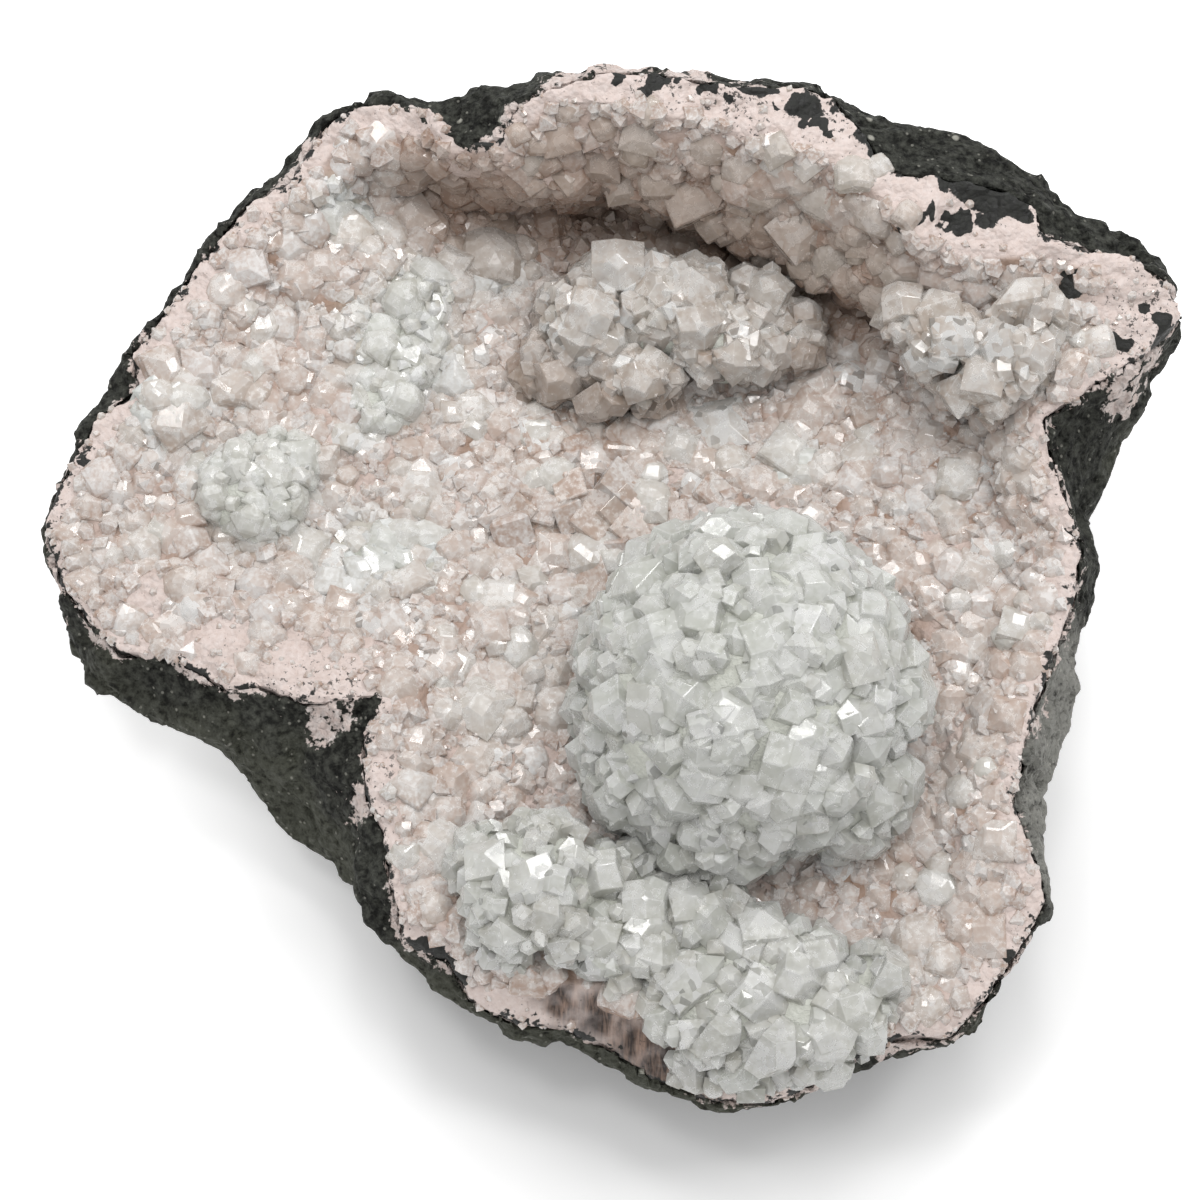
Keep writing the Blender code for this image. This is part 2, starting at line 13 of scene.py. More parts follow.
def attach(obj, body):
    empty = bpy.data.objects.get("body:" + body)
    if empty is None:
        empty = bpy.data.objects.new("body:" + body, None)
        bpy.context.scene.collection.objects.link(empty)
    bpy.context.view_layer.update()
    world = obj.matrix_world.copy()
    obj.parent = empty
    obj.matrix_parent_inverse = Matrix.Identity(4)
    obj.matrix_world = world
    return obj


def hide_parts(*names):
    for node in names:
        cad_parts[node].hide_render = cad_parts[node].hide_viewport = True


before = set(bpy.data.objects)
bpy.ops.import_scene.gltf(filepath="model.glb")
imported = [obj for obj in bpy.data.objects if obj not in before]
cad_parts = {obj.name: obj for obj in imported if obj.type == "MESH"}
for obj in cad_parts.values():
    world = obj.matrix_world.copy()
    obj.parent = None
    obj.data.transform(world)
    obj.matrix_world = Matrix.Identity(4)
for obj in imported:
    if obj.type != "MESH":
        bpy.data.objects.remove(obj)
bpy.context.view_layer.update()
mm = 0.001

# Shader node helpers and shared effects


def nodeIn(tree, kind, **values):
    node = tree.nodes.new(kind)
    for key, value in values.items():
        setattr(node, key, value)
    return node


def wire(tree, source, target):
    tree.links.new(source, target)


def setIn(node, **values):
    for name, value in values.items():
        node.inputs[name.replace("_", " ")].default_value = value


def newGroup(name, inputs, outputs):
    group = bpy.data.node_groups.new(name, "ShaderNodeTree")
    for label, kind, value in inputs:
        socket = group.interface.new_socket(label, in_out="INPUT", socket_type=kind)
        if value is not None:
            socket.default_value = value
    for label, kind in outputs:
        group.interface.new_socket(label, in_out="OUTPUT", socket_type=kind)
    return group, group.nodes.new("NodeGroupInput"), group.nodes.new("NodeGroupOutput")


def noiseNode(tree, vector, scale, detail=3.0, roughness=0.55, distortion=0.0):
    node = nodeIn(tree, "ShaderNodeTexNoise")
    setIn(node, Scale=scale, Detail=detail, Roughness=roughness, Distortion=distortion)
    wire(tree, vector, node.inputs["Vector"])
    return node.outputs["Fac"]


def rangeNode(tree, value, low, high, toLow=0.0, toHigh=1.0):
    node = nodeIn(tree, "ShaderNodeMapRange")
    for label, number in (("From Min", low), ("From Max", high), ("To Min", toLow), ("To Max", toHigh)):
        node.inputs[label].default_value = number
    wire(tree, value, node.inputs["Value"])
    return node.outputs["Result"]


def mathNode(tree, operation, first, second):
    node = nodeIn(tree, "ShaderNodeMath", operation=operation)
    for index, value in enumerate((first, second)):
        if isinstance(value, (int, float)):
            node.inputs[index].default_value = value
        else:
            wire(tree, value, node.inputs[index])
    return node.outputs[0]


def times(tree, first, second):
    return mathNode(tree, "MULTIPLY", first, second)


def plus(tree, first, second):
    return mathNode(tree, "ADD", first, second)


def mixColour(tree, factor, first, second, blend="MIX"):
    node = nodeIn(tree, "ShaderNodeMix", data_type="RGBA", blend_type=blend)
    for socket, value in ((node.inputs[0], factor), (node.inputs[6], first), (node.inputs[7], second)):
        if isinstance(value, (int, float)):
            socket.default_value = value
        elif isinstance(value, tuple):
            socket.default_value = (*value, 1)
        else:
            wire(tree, value, socket)
    return node.outputs[2]


def attributeNode(tree, name):
    return nodeIn(tree, "ShaderNodeAttribute", attribute_name=name).outputs["Fac"]


def textureIn(group, given, kind, finer=1.0, **values):
    # A texture inside a group, fed by the group's Vector and by its Scale, made finer
    node = nodeIn(group, kind)
    wire(group, given.outputs["Vector"], node.inputs["Vector"])
    wire(group, times(group, given.outputs["Scale"], finer), node.inputs["Scale"])
    setIn(node, **values)
    return node


def mineralFlecks():
    # Small round flecks in a share of the cells: the mask is 1 inside them
    group, given, out = newGroup(
        "mineralFlecks",
        [("Vector", "NodeSocketVector", None), ("Scale", "NodeSocketFloat", 300.0),
         ("Share", "NodeSocketFloat", 0.1)],
        [("Mask", "NodeSocketFloat")],
    )
    cells = textureIn(group, given, "ShaderNodeTexVoronoi")
    split = nodeIn(group, "ShaderNodeSeparateColor")
    wire(group, cells.outputs["Color"], split.inputs["Color"])
    picked = mathNode(group, "LESS_THAN", split.outputs["Red"], given.outputs["Share"])
    near = rangeNode(group, cells.outputs["Distance"], 0.22, 0.42, 1.0, 0.0)
    wire(group, times(group, picked, near), out.inputs["Mask"])
    return group


def mineralGrain():
    # Fine sugary grain: a height and a light-and-dark tone
    group, given, out = newGroup(
        "mineralGrain",
        [("Vector", "NodeSocketVector", None), ("Scale", "NodeSocketFloat", 400.0)],
        [("Height", "NodeSocketFloat"), ("Tone", "NodeSocketFloat")],
    )
    cells = textureIn(group, given, "ShaderNodeTexVoronoi")
    cloud = textureIn(group, given, "ShaderNodeTexNoise", Detail=4.0, Roughness=0.65)
    wire(group, mathNode(group, "SUBTRACT", cloud.outputs["Fac"], cells.outputs["Distance"]),
         out.inputs["Height"])
    wire(group, cloud.outputs["Fac"], out.inputs["Tone"])
    return group


def innerVeils():
    # Milky veils and broken flakes inside a crystal, and the faint growth steps on its faces
    group, given, out = newGroup(
        "innerVeils",
        [("Vector", "NodeSocketVector", None), ("Scale", "NodeSocketFloat", 120.0)],
        [("Veil", "NodeSocketFloat"), ("Steps", "NodeSocketFloat"), ("Shards", "NodeSocketFloat")],
    )
    broad = textureIn(group, given, "ShaderNodeTexNoise", Detail=2.0, Roughness=0.5, Distortion=0.6)
    fine = textureIn(group, given, "ShaderNodeTexNoise", 5.0, Detail=3.0, Roughness=0.6)
    both = plus(group, times(group, broad.outputs["Fac"], 0.4), times(group, fine.outputs["Fac"], 0.6))
    wire(group, rangeNode(group, both, 0.42, 0.58), out.inputs["Veil"])
    bands = textureIn(group, given, "ShaderNodeTexWave", 2.5, Distortion=6.0, Detail=2.0)
    bands.bands_direction = "DIAGONAL"
    wire(group, bands.outputs["Fac"], out.inputs["Steps"])
    cracks = textureIn(group, given, "ShaderNodeTexVoronoi", 4.0)
    split = nodeIn(group, "ShaderNodeSeparateColor")
    wire(group, cracks.outputs["Color"], split.inputs["Color"])
    wire(group, split.outputs["Red"], out.inputs["Shards"])
    return group


fleckGroup = mineralFlecks()
grainGroup = mineralGrain()
veilGroup = innerVeils()


def groupNode(tree, group, vector, **values):
    node = nodeIn(tree, "ShaderNodeGroup", node_tree=group)
    wire(tree, vector, node.inputs["Vector"])
    setIn(node, **values)
    return node


def startMaterial(name):
    made = bpy.data.materials.new(name)
    made.use_nodes = True
    tree = made.node_tree
    place = nodeIn(tree, "ShaderNodeTexCoord").outputs["Object"]
    return made, tree, tree.nodes["Principled BSDF"], place


def bumpInto(tree, shader, height, strength, distance):
    bump = nodeIn(tree, "ShaderNodeBump")
    setIn(bump, Strength=strength, Distance=distance)
    wire(tree, height, bump.inputs["Height"])
    wire(tree, bump.outputs["Normal"], shader.inputs["Normal"])


def letLightPass(tree, shader, colour):
    # Lamps shine through the crystals, so that what lies behind them is lit
    path = nodeIn(tree, "ShaderNodeLightPath")
    through = nodeIn(tree, "ShaderNodeBsdfTransparent")
    through.inputs["Color"].default_value = (*colour, 1)
    mixer = nodeIn(tree, "ShaderNodeMixShader")
    wire(tree, path.outputs["Is Shadow Ray"], mixer.inputs[0])
    wire(tree, shader.outputs[0], mixer.inputs[1])
    wire(tree, through.outputs[0], mixer.inputs[2])
    wire(tree, mixer.outputs[0], tree.nodes["Material Output"].inputs["Surface"])


# Camera and light

photoView = {
    "lens": 100.0,
    "sensor": 36.0,
    "elevation": 72.0,      # degrees above the table, seen from the low lip
    "distance": 0.728,
    "target": (-0.002, -0.005, 0.045),
}

studio = {
    "zenithStrength": 0.78,
    "horizonStrength": 0.44,
    "boxSize": 0.19,
    "boxPower": 0.98,
    "boxPlaces": [(0.04, 0.33, 0.88), (0.32, 0.56, 0.66), (-0.26, 0.62, 0.62), (0.48, 0.16, 0.78),
                  (-0.30, 0.12, 0.90)],
    "floorSide": 3.0,
    "floorHeight": -0.0002,         # a hair under the block, so that the two don't share a plane
    "floorColour": (0.96, 0.96, 0.96),
    "floorGlow": (0.03, 0.50),      # near the middle of the shadow and well away from it
    "glowReach": (0.060, 0.125),
    "shadowMiddle": (0.02, -0.06),
}


def deselectAll():
    active = bpy.context.view_layer.objects.active
    if active and active.mode != "OBJECT":
        bpy.ops.object.mode_set(mode="OBJECT")
    bpy.ops.object.select_all(action="DESELECT")


def makeActive(piece):
    deselectAll()
    piece.select_set(True)
    bpy.context.view_layer.objects.active = piece


def lookAt(thing, place, target):
    thing.location = place
    thing.rotation_euler = (Vector(target) - Vector(place)).to_track_quat("-Z", "Y").to_euler()


def addCamera():
    rise = math.radians(photoView["elevation"])
    target = Vector(photoView["target"])
    place = target + Vector((0, -math.cos(rise), math.sin(rise))) * photoView["distance"]
    deselectAll()
    bpy.ops.object.camera_add(location=place)
    camera = bpy.context.object
    lookAt(camera, place, target)
    camera.data.lens = photoView["lens"]
    camera.data.sensor_width = photoView["sensor"]
    bpy.context.scene.camera = camera


def addLight(name, place, size, power):
    deselectAll()
    bpy.ops.object.light_add(type="AREA", location=place)
    light = bpy.context.object
    light.name = name
    light.data.shape = "DISK"
    light.data.size = size
    light.data.energy = power
    lookAt(light, place, (0, 0, 0.04))


def addWorld():
    # A pale room, brighter overhead than at the sides
    world = bpy.data.worlds.new("paleRoom")
    world.use_nodes = True
    tree = world.node_tree
    way = nodeIn(tree, "ShaderNodeTexCoord").outputs["Generated"]
    split = nodeIn(tree, "ShaderNodeSeparateXYZ")
    wire(tree, way, split.inputs[0])
    low, high = studio["horizonStrength"], studio["zenithStrength"]
    strength = rangeNode(tree, split.outputs["Z"], 0.0, 1.0, low, high)
    room = tree.nodes["Background"]
    room.inputs["Color"].default_value = (1, 1, 1, 1)
    wire(tree, strength, room.inputs["Strength"])
    bpy.context.scene.world = world


def addStudio():
    addWorld()
    for number, place in enumerate(studio["boxPlaces"]):
        addLight(f"softBox{number}", place, studio["boxSize"], studio["boxPower"])
    deselectAll()
    middle = (*studio["shadowMiddle"], studio["floorHeight"])
    bpy.ops.mesh.primitive_plane_add(size=studio["floorSide"], location=middle)
    floor = bpy.context.object
    floor.name = "floor"
    paper = bpy.data.materials.new("whitePaper")
    paper.use_nodes = True
    shader = paper.node_tree.nodes["Principled BSDF"]
    shader.inputs["Base Color"].default_value = (*studio["floorColour"], 1)
    shader.inputs["Roughness"].default_value = 0.8
    shader.inputs["Emission Color"].default_value = (1, 1, 1, 1)
    tree = paper.node_tree
    # The paper glows more the further it lies from the middle of the shadow: painted light, which leaves
    # the shadow near the block darker and tighter
    away = nodeIn(tree, "ShaderNodeVectorMath", operation="LENGTH")
    wire(tree, nodeIn(tree, "ShaderNodeTexCoord").outputs["Object"], away.inputs[0])
    glow = rangeNode(tree, away.outputs["Value"], *studio["glowReach"], *studio["floorGlow"])
    wire(tree, glow, shader.inputs["Emission Strength"])
    paper.cycles.emission_sampling = "NONE"
    floor.data.materials.append(paper)
    scene = bpy.context.scene
    scene.view_settings.view_transform = "Standard"
    scene.cycles.use_denoising = True
    scene.cycles.use_light_tree = False         # quicker with so few lamps
    scene.cycles.max_bounces = 4                # few bounces keep a final render under five minutes
    scene.cycles.transmission_bounces = 4
    scene.cycles.transparent_max_bounces = 4
    scene.cycles.diffuse_bounces = 1
    scene.cycles.glossy_bounces = 1
    scene.cycles.caustics_reflective = False
    scene.cycles.caustics_refractive = False
    scene.cycles.sample_clamp_indirect = 4.0


addCamera()
addStudio()
print("camera and studio ready")

# Crystals: a form is modelled once by hand, and each copy is turned, sized and set in place

crystalForms = {
    # kites: the four end faces stand over the prism's edges, not over its sides
    # tilt: how steep they are, top: how much of the point is cut off flat
    "pointed": {"kites": True, "tilt": 41, "top": 0.0, "bevel": 0.016, "uneven": 0.05},
    "keen": {"kites": True, "tilt": 49, "top": 0.0, "bevel": 0.015, "uneven": 0.07},
    "blunt": {"kites": True, "tilt": 37, "top": 0.08, "bevel": 0.018, "uneven": 0.05},
    "table": {"kites": True, "tilt": 42, "top": 0.20, "bevel": 0.018, "uneven": 0.04},
    "roof": {"kites": False, "tilt": 33, "top": 0.02, "bevel": 0.016, "uneven": 0.08},
    "stub": {"kites": True, "tilt": 33, "top": 0.03, "bevel": 0.018, "uneven": 0.10},
}
blockForms = {
    "blockTable": {"kites": True, "tilt": 42, "top": 0.24, "bevel": 0.12, "uneven": 0.06},
    "blockBlunt": {"kites": True, "tilt": 36, "top": 0.15, "bevel": 0.12, "uneven": 0.08},
    "blockRoof": {"kites": False, "tilt": 36, "top": 0.12, "bevel": 0.12, "uneven": 0.10},
    "blockPoint": {"kites": True, "tilt": 40, "top": 0.06, "bevel": 0.09, "uneven": 0.08},
}
plainForms = {
    "plainPoint": {"kites": True, "tilt": 48, "top": 0.0, "bevel": 0, "uneven": 0.08},
    "plainRoof": {"kites": False, "tilt": 45, "top": 0.0, "bevel": 0, "uneven": 0.10},
    "plainStub": {"kites": True, "tilt": 42, "top": 0.12, "bevel": 0, "uneven": 0.08},
}


def cutEdit(place, outward):
    bpy.ops.mesh.select_all(action="SELECT")
    bpy.ops.mesh.bisect(plane_co=place, plane_no=outward, use_fill=True, clear_outer=True)


def modelCrystal(name, form, rng):
    # A square prism one wide and one high, standing on z = 0, whose end is cut to a point
    deselectAll()
    bpy.ops.mesh.primitive_cube_add(size=1, location=(0, 0, 0.5))
    shape = bpy.context.object
    shape.name = name
    bpy.ops.object.transform_apply(location=True, rotation=True, scale=True)
    bpy.ops.object.mode_set(mode="EDIT")
    for side in range(4):
        turn = math.radians(90 * side + (45 if form["kites"] else 0) + rng.uniform(-3, 3))
        tilt = math.radians(form["tilt"] + rng.uniform(-3, 3))
        outward = (math.sin(tilt) * math.cos(turn), math.sin(tilt) * math.sin(turn), math.cos(tilt))
        cutEdit((0, 0, 1 - rng.uniform(0, form["uneven"])), outward)
    if form["top"]:
        lean = (rng.uniform(-0.04, 0.04), rng.uniform(-0.04, 0.04), 1)
        cutEdit((0, 0, 1 - form["top"] - form["uneven"] / 2), lean)
    bpy.ops.mesh.select_all(action="SELECT")
    bpy.ops.mesh.remove_doubles(threshold=0.004)
    bpy.ops.mesh.normals_make_consistent(inside=False)
    if form["bevel"]:
        bpy.ops.mesh.bevel(offset=form["bevel"], segments=1, clamp_overlap=True)
    bpy.ops.object.mode_set(mode="OBJECT")
    corners = np.array([v.co for v in shape.data.vertices])
    faces = [list(p.vertices) for p in shape.data.polygons]
    broad = [p.area > 0.02 for p in shape.data.polygons]
    bpy.data.objects.remove(shape)
    return corners, faces, broad


def modelForms(forms, each, seed):
    rng = random.Random(seed)
    return [modelCrystal(f"{name}{i}", form, rng) for name, form in forms.items() for i in range(each)]


crystalShapes = modelForms(crystalForms, 3, 21)
blockShapes = modelForms(blockForms, 3, 23)
plainShapes = modelForms(plainForms, 3, 22)
print("crystal forms modelled:", len(crystalShapes) + len(blockShapes) + len(plainShapes))


def turnsTo(axes, spins):
    # One turning matrix for each axis, with a spin about it
    up = np.array([0.0, 0.0, 1.0])
    side = np.cross(up, axes)
    length = np.linalg.norm(side, axis=1)
    side[length < 1e-6] = (1.0, 0.0, 0.0)
    side /= np.maximum(np.linalg.norm(side, axis=1), 1e-9)[:, None]
    across = np.cross(axes, side)
    c, s = np.cos(spins)[:, None], np.sin(spins)[:, None]
    first = side * c + across * s
    second = across * c - side * s
    return np.stack([first, second, axes], axis=2)


def meshOf(name, corners, faces, attributes, facets):
    # faces: lists of corner numbers, attributes: one value for each corner under each name,
    # facets: one light-or-dark value for each face, painted light and shade for the crystal finishes
    mesh = bpy.data.meshes.new(name)
    sizes = np.array([len(f) for f in faces], np.int32)
    loops = np.concatenate([np.asarray(f, np.int32) for f in faces])
    mesh.vertices.add(len(corners))
    mesh.vertices.foreach_set("co", np.asarray(corners, np.float32).ravel())
    mesh.loops.add(len(loops))
    mesh.loops.foreach_set("vertex_index", loops)
    mesh.polygons.add(len(sizes))
    starts = np.concatenate([[0], np.cumsum(sizes)[:-1]]).astype(np.int32)
    mesh.polygons.foreach_set("loop_start", starts)
    mesh.polygons.foreach_set("use_smooth", np.zeros(len(sizes), bool))
    mesh.update(calc_edges=True)
    mesh.validate()
    for label, values in attributes.items():
        setAttribute(mesh, label, values)
    setAttribute(mesh, "facet", facets, "FACE")
    made = bpy.data.objects.new(name, mesh)
    bpy.context.scene.collection.objects.link(made)
    return made


def setAttribute(mesh, label, values, domain="POINT"):
    layer = mesh.attributes.get(label) or mesh.attributes.new(label, "FLOAT", domain)
    layer.data.foreach_set("value", np.asarray(values, np.float32))


def standCrystals(name, shapes, stands, rng):
    # stands: arrays of foot, axis, width, length from the foot, and tone, one value a crystal,
    # and for some groups a brown tint that is partly stain and partly painted shade, and tint
    count = len(stands["width"])
    kind = rng.integers(0, len(shapes), count)
    turns = turnsTo(stands["axis"], rng.uniform(0, math.tau, count))
    allCorners, allFaces, facets, tips, tints, tones, stainsAndShade = [], [], [], [], [], [], []
    stain = stands.get("stain", np.zeros(count))
    start = 0
    tint = stands.get("tint", rng.uniform(-1, 1, count))
    for number, (corners, faces, broad) in enumerate(shapes):
        for i in np.flatnonzero(kind == number):
            size = np.array([stands["width"][i], stands["width"][i], stands["length"][i]])
            allCorners.append(stands["foot"][i] + (corners * size) @ turns[i].T)
            allFaces += [[c + start for c in f] for f in faces]
            # painted light and shade on each face: broad faces lighter or darker at random, narrow bevel
            # faces strongly, as painted reflections and dark refraction lines
            sides = rng.uniform(-1, 1, len(faces))
            edges = rng.choice((-1.6, 1.6), len(faces))
            facets.append(np.where(broad, sides, edges))
            start += len(corners)
            tips.append(corners[:, 2])
            tints.append(np.full(len(corners), tint[i]))
            tones.append(np.full(len(corners), stands["tone"][i]))
            stainsAndShade.append(np.full(len(corners), stain[i]))
    return meshOf(name, np.concatenate(allCorners) * mm, allFaces, {
        "tip": np.concatenate(tips), "tint": np.concatenate(tints), "tone": np.concatenate(tones),
        "stain": np.concatenate(stainsAndShade),
    }, np.concatenate(facets))


def joinPieces(name, pieces):
    deselectAll()
    for piece in pieces:
        piece.select_set(True)
    bpy.context.view_layer.objects.active = pieces[0]
    bpy.ops.object.join()
    pieces[0].name = name
    pieces[0].data.name = name
    return pieces[0]


def finishPiece(piece, slotName, *nodes):
    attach(piece, "root")
    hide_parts(*nodes)
    print(piece.name, "triangles:", sum(len(p.vertices) - 2 for p in piece.data.polygons))


# The ball and the clusters

# The near-white glint colour is a painted glint of reflected light; the edge colours are painted shade on
# darker faces and edges
crystalLook = {
    "green": {"deep": (0.65, 0.66, 0.60), "light": (0.87, 0.88, 0.845), "clear": (0.95, 0.955, 0.935),
              "edge": (0.60, 0.61, 0.545)},
    "pink": {"deep": (0.55, 0.39, 0.31), "light": (0.83, 0.735, 0.675), "clear": (0.93, 0.88, 0.84),
             "edge": (0.54, 0.41, 0.335)},
    # a brown tint: partly stain, partly painted shade
    "stainedAndShaded": (0.55, 0.42, 0.34),
    "milkyShade": (0.80, 0.815, 0.83),
    "cracked": (0.20, 0.20, 0.19),
    "paintedGlint": (0.92, 0.92, 0.91),
    "passing": (0.85, 0.85, 0.83),
    "transmission": 0.4,
    "ior": 1.536,
}
blockShift = (-2.0, -5.0, 0.0)      # from the outlines' own centre to the block's, in millimetres

clusterForms = {
    # lobes: middle and half widths of each swelling; crowns: x, y, width and reach of large crystals
    "apophyllite_ball": {
        "lobes": [((32, -21, 46), (36.5, 38, 32)), ((12, -37, 44), (16, 17, 16)),
                  ((49, -42, 44), (17, 16, 16)), ((27, -45, 45), (19, 16, 17))],
        "crowns": [(14, 10, 11, 5), (30, 12, 12, 4), (24, 2, 12, 4), (46, 6, 11, 4), (58, -8, 10, 4),
                   (2, -30, 11, 5), (12, -18, 12, 4), (36, -10, 13, 3), (60, -28, 11, 4), (28, -38, 12, 4),
                   (44, -50, 10, 4), (16, -50, 11, 4), (64, -40, 9, 5), (8, -2, 11, 5)],
        "large": 210, "largeWidth": (7.0, 12.0), "largeReach": (1.8, 4.6),
        "small": 480, "smallWidth": (3.8, 7.0), "smallReach": (1.2, 3.8),
        "lowest": -0.35, "lump": 3.2, "tone": 0.0, "seed": 40,
    },
    "upper_cluster": {
        "lobes": [((-3, 65, 42), (11, 12, 12)), ((17, 67, 42), (17, 12, 14)), ((36, 71, 41), (8, 8, 9)),
                  ((9, 54, 41), (10, 8, 9)), ((29, 60, 43), (12, 9, 10)), ((5, 76, 43), (10, 7, 9)),
                  ((-12, 55, 40), (7, 7, 6)), ((43, 63, 42), (7, 7, 6))],
        "crowns": [(4, 76, 12, 6), (15, 79, 9, 5), (-9, 52, 9, 5), (9, 50, 9, 5), (22, 61, 10, 5),
                   (36, 66, 9, 5), (32, 75, 8, 5), (-2, 64, 10, 5), (20, 71, 12, 5), (40, 58, 8, 5),
                   (-14, 60, 8, 5), (30, 54, 8, 5), (0, 46, 8, 4), (46, 68, 8, 4)],
        "large": 110, "largeWidth": (5.5, 9.0), "largeReach": (1.6, 4.2),
        "small": 340, "smallWidth": (3.0, 5.6), "smallReach": (1.2, 3.8),
        "lowest": -0.2, "lump": 3.4, "tone": 0.62, "seed": 41, "stainAndShadeBelow": 46,
    },
    "right_cluster": {
        "lobes": [((76, 54, 62), (9, 8, 7)), ((88, 50, 63), (10, 9, 7)), ((68, 60, 61), (6, 6, 5)),
                  ((94, 58, 65), (7, 6, 5)), ((84, 43, 61), (7, 6, 6))],
        "crowns": [(73, 60, 10, 5), (76, 52, 9, 6), (87, 51, 10, 6), (94, 48, 9, 5), (92, 62, 10, 5),
                   (83, 43, 9, 5), (78, 40, 8, 5), (66, 62, 9, 4), (100, 53, 8, 4), (87, 67, 8, 4)],
        "large": 40, "largeWidth": (5.0, 8.0), "largeReach": (1.6, 4.0),
        "small": 140, "smallWidth": (2.8, 5.2), "smallReach": (1.2, 3.6),
        "lowest": -0.2, "lump": 2.6, "tone": 0.62, "seed": 42, "stainAndShadeBelow": 62,
    },
    "front_cluster": {
        "lobes": [((-14, -64, 45), (15, 15, 10)), ((7, -73, 42), (15, 12, 7)), ((25, -85, 40), (17, 15, 8)),
                  ((46, -89, 40), (16, 12, 7)), ((19, -71, 41), (14, 10, 6)), ((35, -79, 41), (16, 10, 7)),
                  ((57, -83, 38), (9, 8, 7)), ((29, -98, 33), (13, 8, 9)), ((46, -97, 34), (10, 7, 8)),
                  ((2, -61, 41), (9, 9, 8)), ((-24, -58, 42), (8, 8, 7)), ((-20, -74, 40), (8, 7, 7))],
        "crowns": [(-9, -50, 9, 4), (-14, -66, 11, 4), (-24, -60, 9, 4), (0, -62, 9, 4), (-20, -76, 8, 4),
                   (9, -68, 9, 4), (19, -68, 9, 4), (34, -72, 10, 4), (18, -84, 11, 4), (0, -76, 8, 4),
                   (48, -80, 10, 4), (62, -84, 8, 4), (53, -90, 10, 4), (34, -88, 11, 4), (26, -97, 9, 4),
                   (38, -100, 10, 4), (48, -97, 10, 4), (12, -80, 10, 5), (42, -84, 10, 5)],
        "large": 120, "largeWidth": (5.5, 9.5), "largeReach": (1.6, 4.4),
        "small": 420, "smallWidth": (3.0, 6.0), "smallReach": (1.2, 4.0),
        "lowest": -0.2, "lump": 3.6, "tone": 0.08, "seed": 43, "lean": 0.4,
    },
}


def crystalMaterial(name, scale, transmission, contrast, shade=(1.0, 1.0, 1.0)):
    # Pale green where the piece's tone is 0, pink where it is 1, darker and deeper at the root as painted
    # shade where the crystals crowd
    green, pink = crystalLook["green"], crystalLook["pink"]
    made, tree, shader, place = startMaterial(name)
    veils = groupNode(tree, veilGroup, place, Scale=scale)
    veil, shards = veils.outputs["Veil"], veils.outputs["Shards"]
    tip, tint = attributeNode(tree, "tip"), attributeNode(tree, "tint")
    facet, tone = attributeNode(tree, "facet"), attributeNode(tree, "tone")
    mixed = {part: mixColour(tree, tone, green[part], pink[part]) for part in green}
    body = mixColour(tree, rangeNode(tree, tip, 0.5, 0.95), mixed["deep"], mixed["light"])
    body = mixColour(tree, times(tree, veil, 0.75), body, mixed["clear"])
    # The random tint, each face's painted value and the flakes inside push the colour towards the painted
    # glint or the darker edge colour: painted reflections and painted shade
    shift = plus(tree, times(tree, tint, 0.5), times(tree, facet, 0.5))
    shift = plus(tree, shift, times(tree, mathNode(tree, "SUBTRACT", shards, 0.5), 1.1))
    body = mixColour(tree, rangeNode(tree, shift, 0.0, 1.3, 0.0, contrast), body, crystalLook["paintedGlint"])
    body = mixColour(tree, rangeNode(tree, shift, 0.0, -1.3, 0.0, contrast), body, mixed["edge"])
    if transmission:                # a few of the clear crystals show a painted flash of reflected light, or dark cracks
        paintedFlash = times(tree, rangeNode(tree, shards, 0.45, 0.6), rangeNode(tree, tint, 0.82, 0.88))
        body = mixColour(tree, times(tree, paintedFlash, 0.8), body, crystalLook["paintedGlint"])
        cracked = times(tree, rangeNode(tree, shards, 0.11, 0.06), rangeNode(tree, tint, 0.84, 0.88))
        body = mixColour(tree, times(tree, cracked, 0.6), body, crystalLook["cracked"])
    # brown tint, partly stain and partly painted shade low on the wall and under the clusters
    body = mixColour(tree, attributeNode(tree, "stain"), body, crystalLook["stainedAndShaded"], "MULTIPLY")
    body = mixColour(tree, 1.0, body, shade, "MULTIPLY")
    wire(tree, body, shader.inputs["Base Color"])
    gloss = plus(tree, times(tree, veil, 0.5), times(tree, shards, 0.5))
    wire(tree, rangeNode(tree, gloss, 0.3, 0.9, 0.05, 0.38), shader.inputs["Roughness"])
    shader.inputs["IOR"].default_value = crystalLook["ior"]
    if transmission:
        shader.inputs["Transmission Weight"].default_value = transmission
        letLightPass(tree, shader, crystalLook["passing"])
    return made


def milkyMaterial():
    # The milky heart that the crystals grow from, seen through them and between them, coloured darker than
    # they are as painted shade in the gaps
    made, tree, shader, place = startMaterial("milkyHeart")
    veils = groupNode(tree, veilGroup, place, Scale=220.0)
    green = crystalLook["green"]
    body = mixColour(tree, veils.outputs["Veil"], green["edge"], green["deep"])
    wire(tree, body, shader.inputs["Base Color"])
    wire(tree, rangeNode(tree, veils.outputs["Steps"], 0.0, 1.0, 0.35, 0.6), shader.inputs["Roughness"])
    bumpInto(tree, shader, veils.outputs["Veil"], 0.4, 0.0006)
    return made


def lobeCore(centre, halves, shrink):
    deselectAll()
    bpy.ops.mesh.primitive_ico_sphere_add(subdivisions=4, radius=1, location=(0, 0, 0))
    core = bpy.context.object
    corners = np.array([v.co for v in core.data.vertices])
    lumps = np.array([noise.noise(Vector(c) * 3.1 + Vector(centre)) for c in corners])
    out = corners * (1 + 0.05 * lumps[:, None]) * (np.array(halves) - shrink)
    place = (out + np.array(centre) + np.array(blockShift)) * mm
    core.data.vertices.foreach_set("co", place.astype(np.float32).ravel())
    core.data.update()
    core.data.materials.append(milkyFinish)
    return core


def insideLobe(point, lobe, share=0.92):
    centre, halves = lobe
    return sum(((p - c) / h) ** 2 for p, c, h in zip(point, centre, halves)) < share


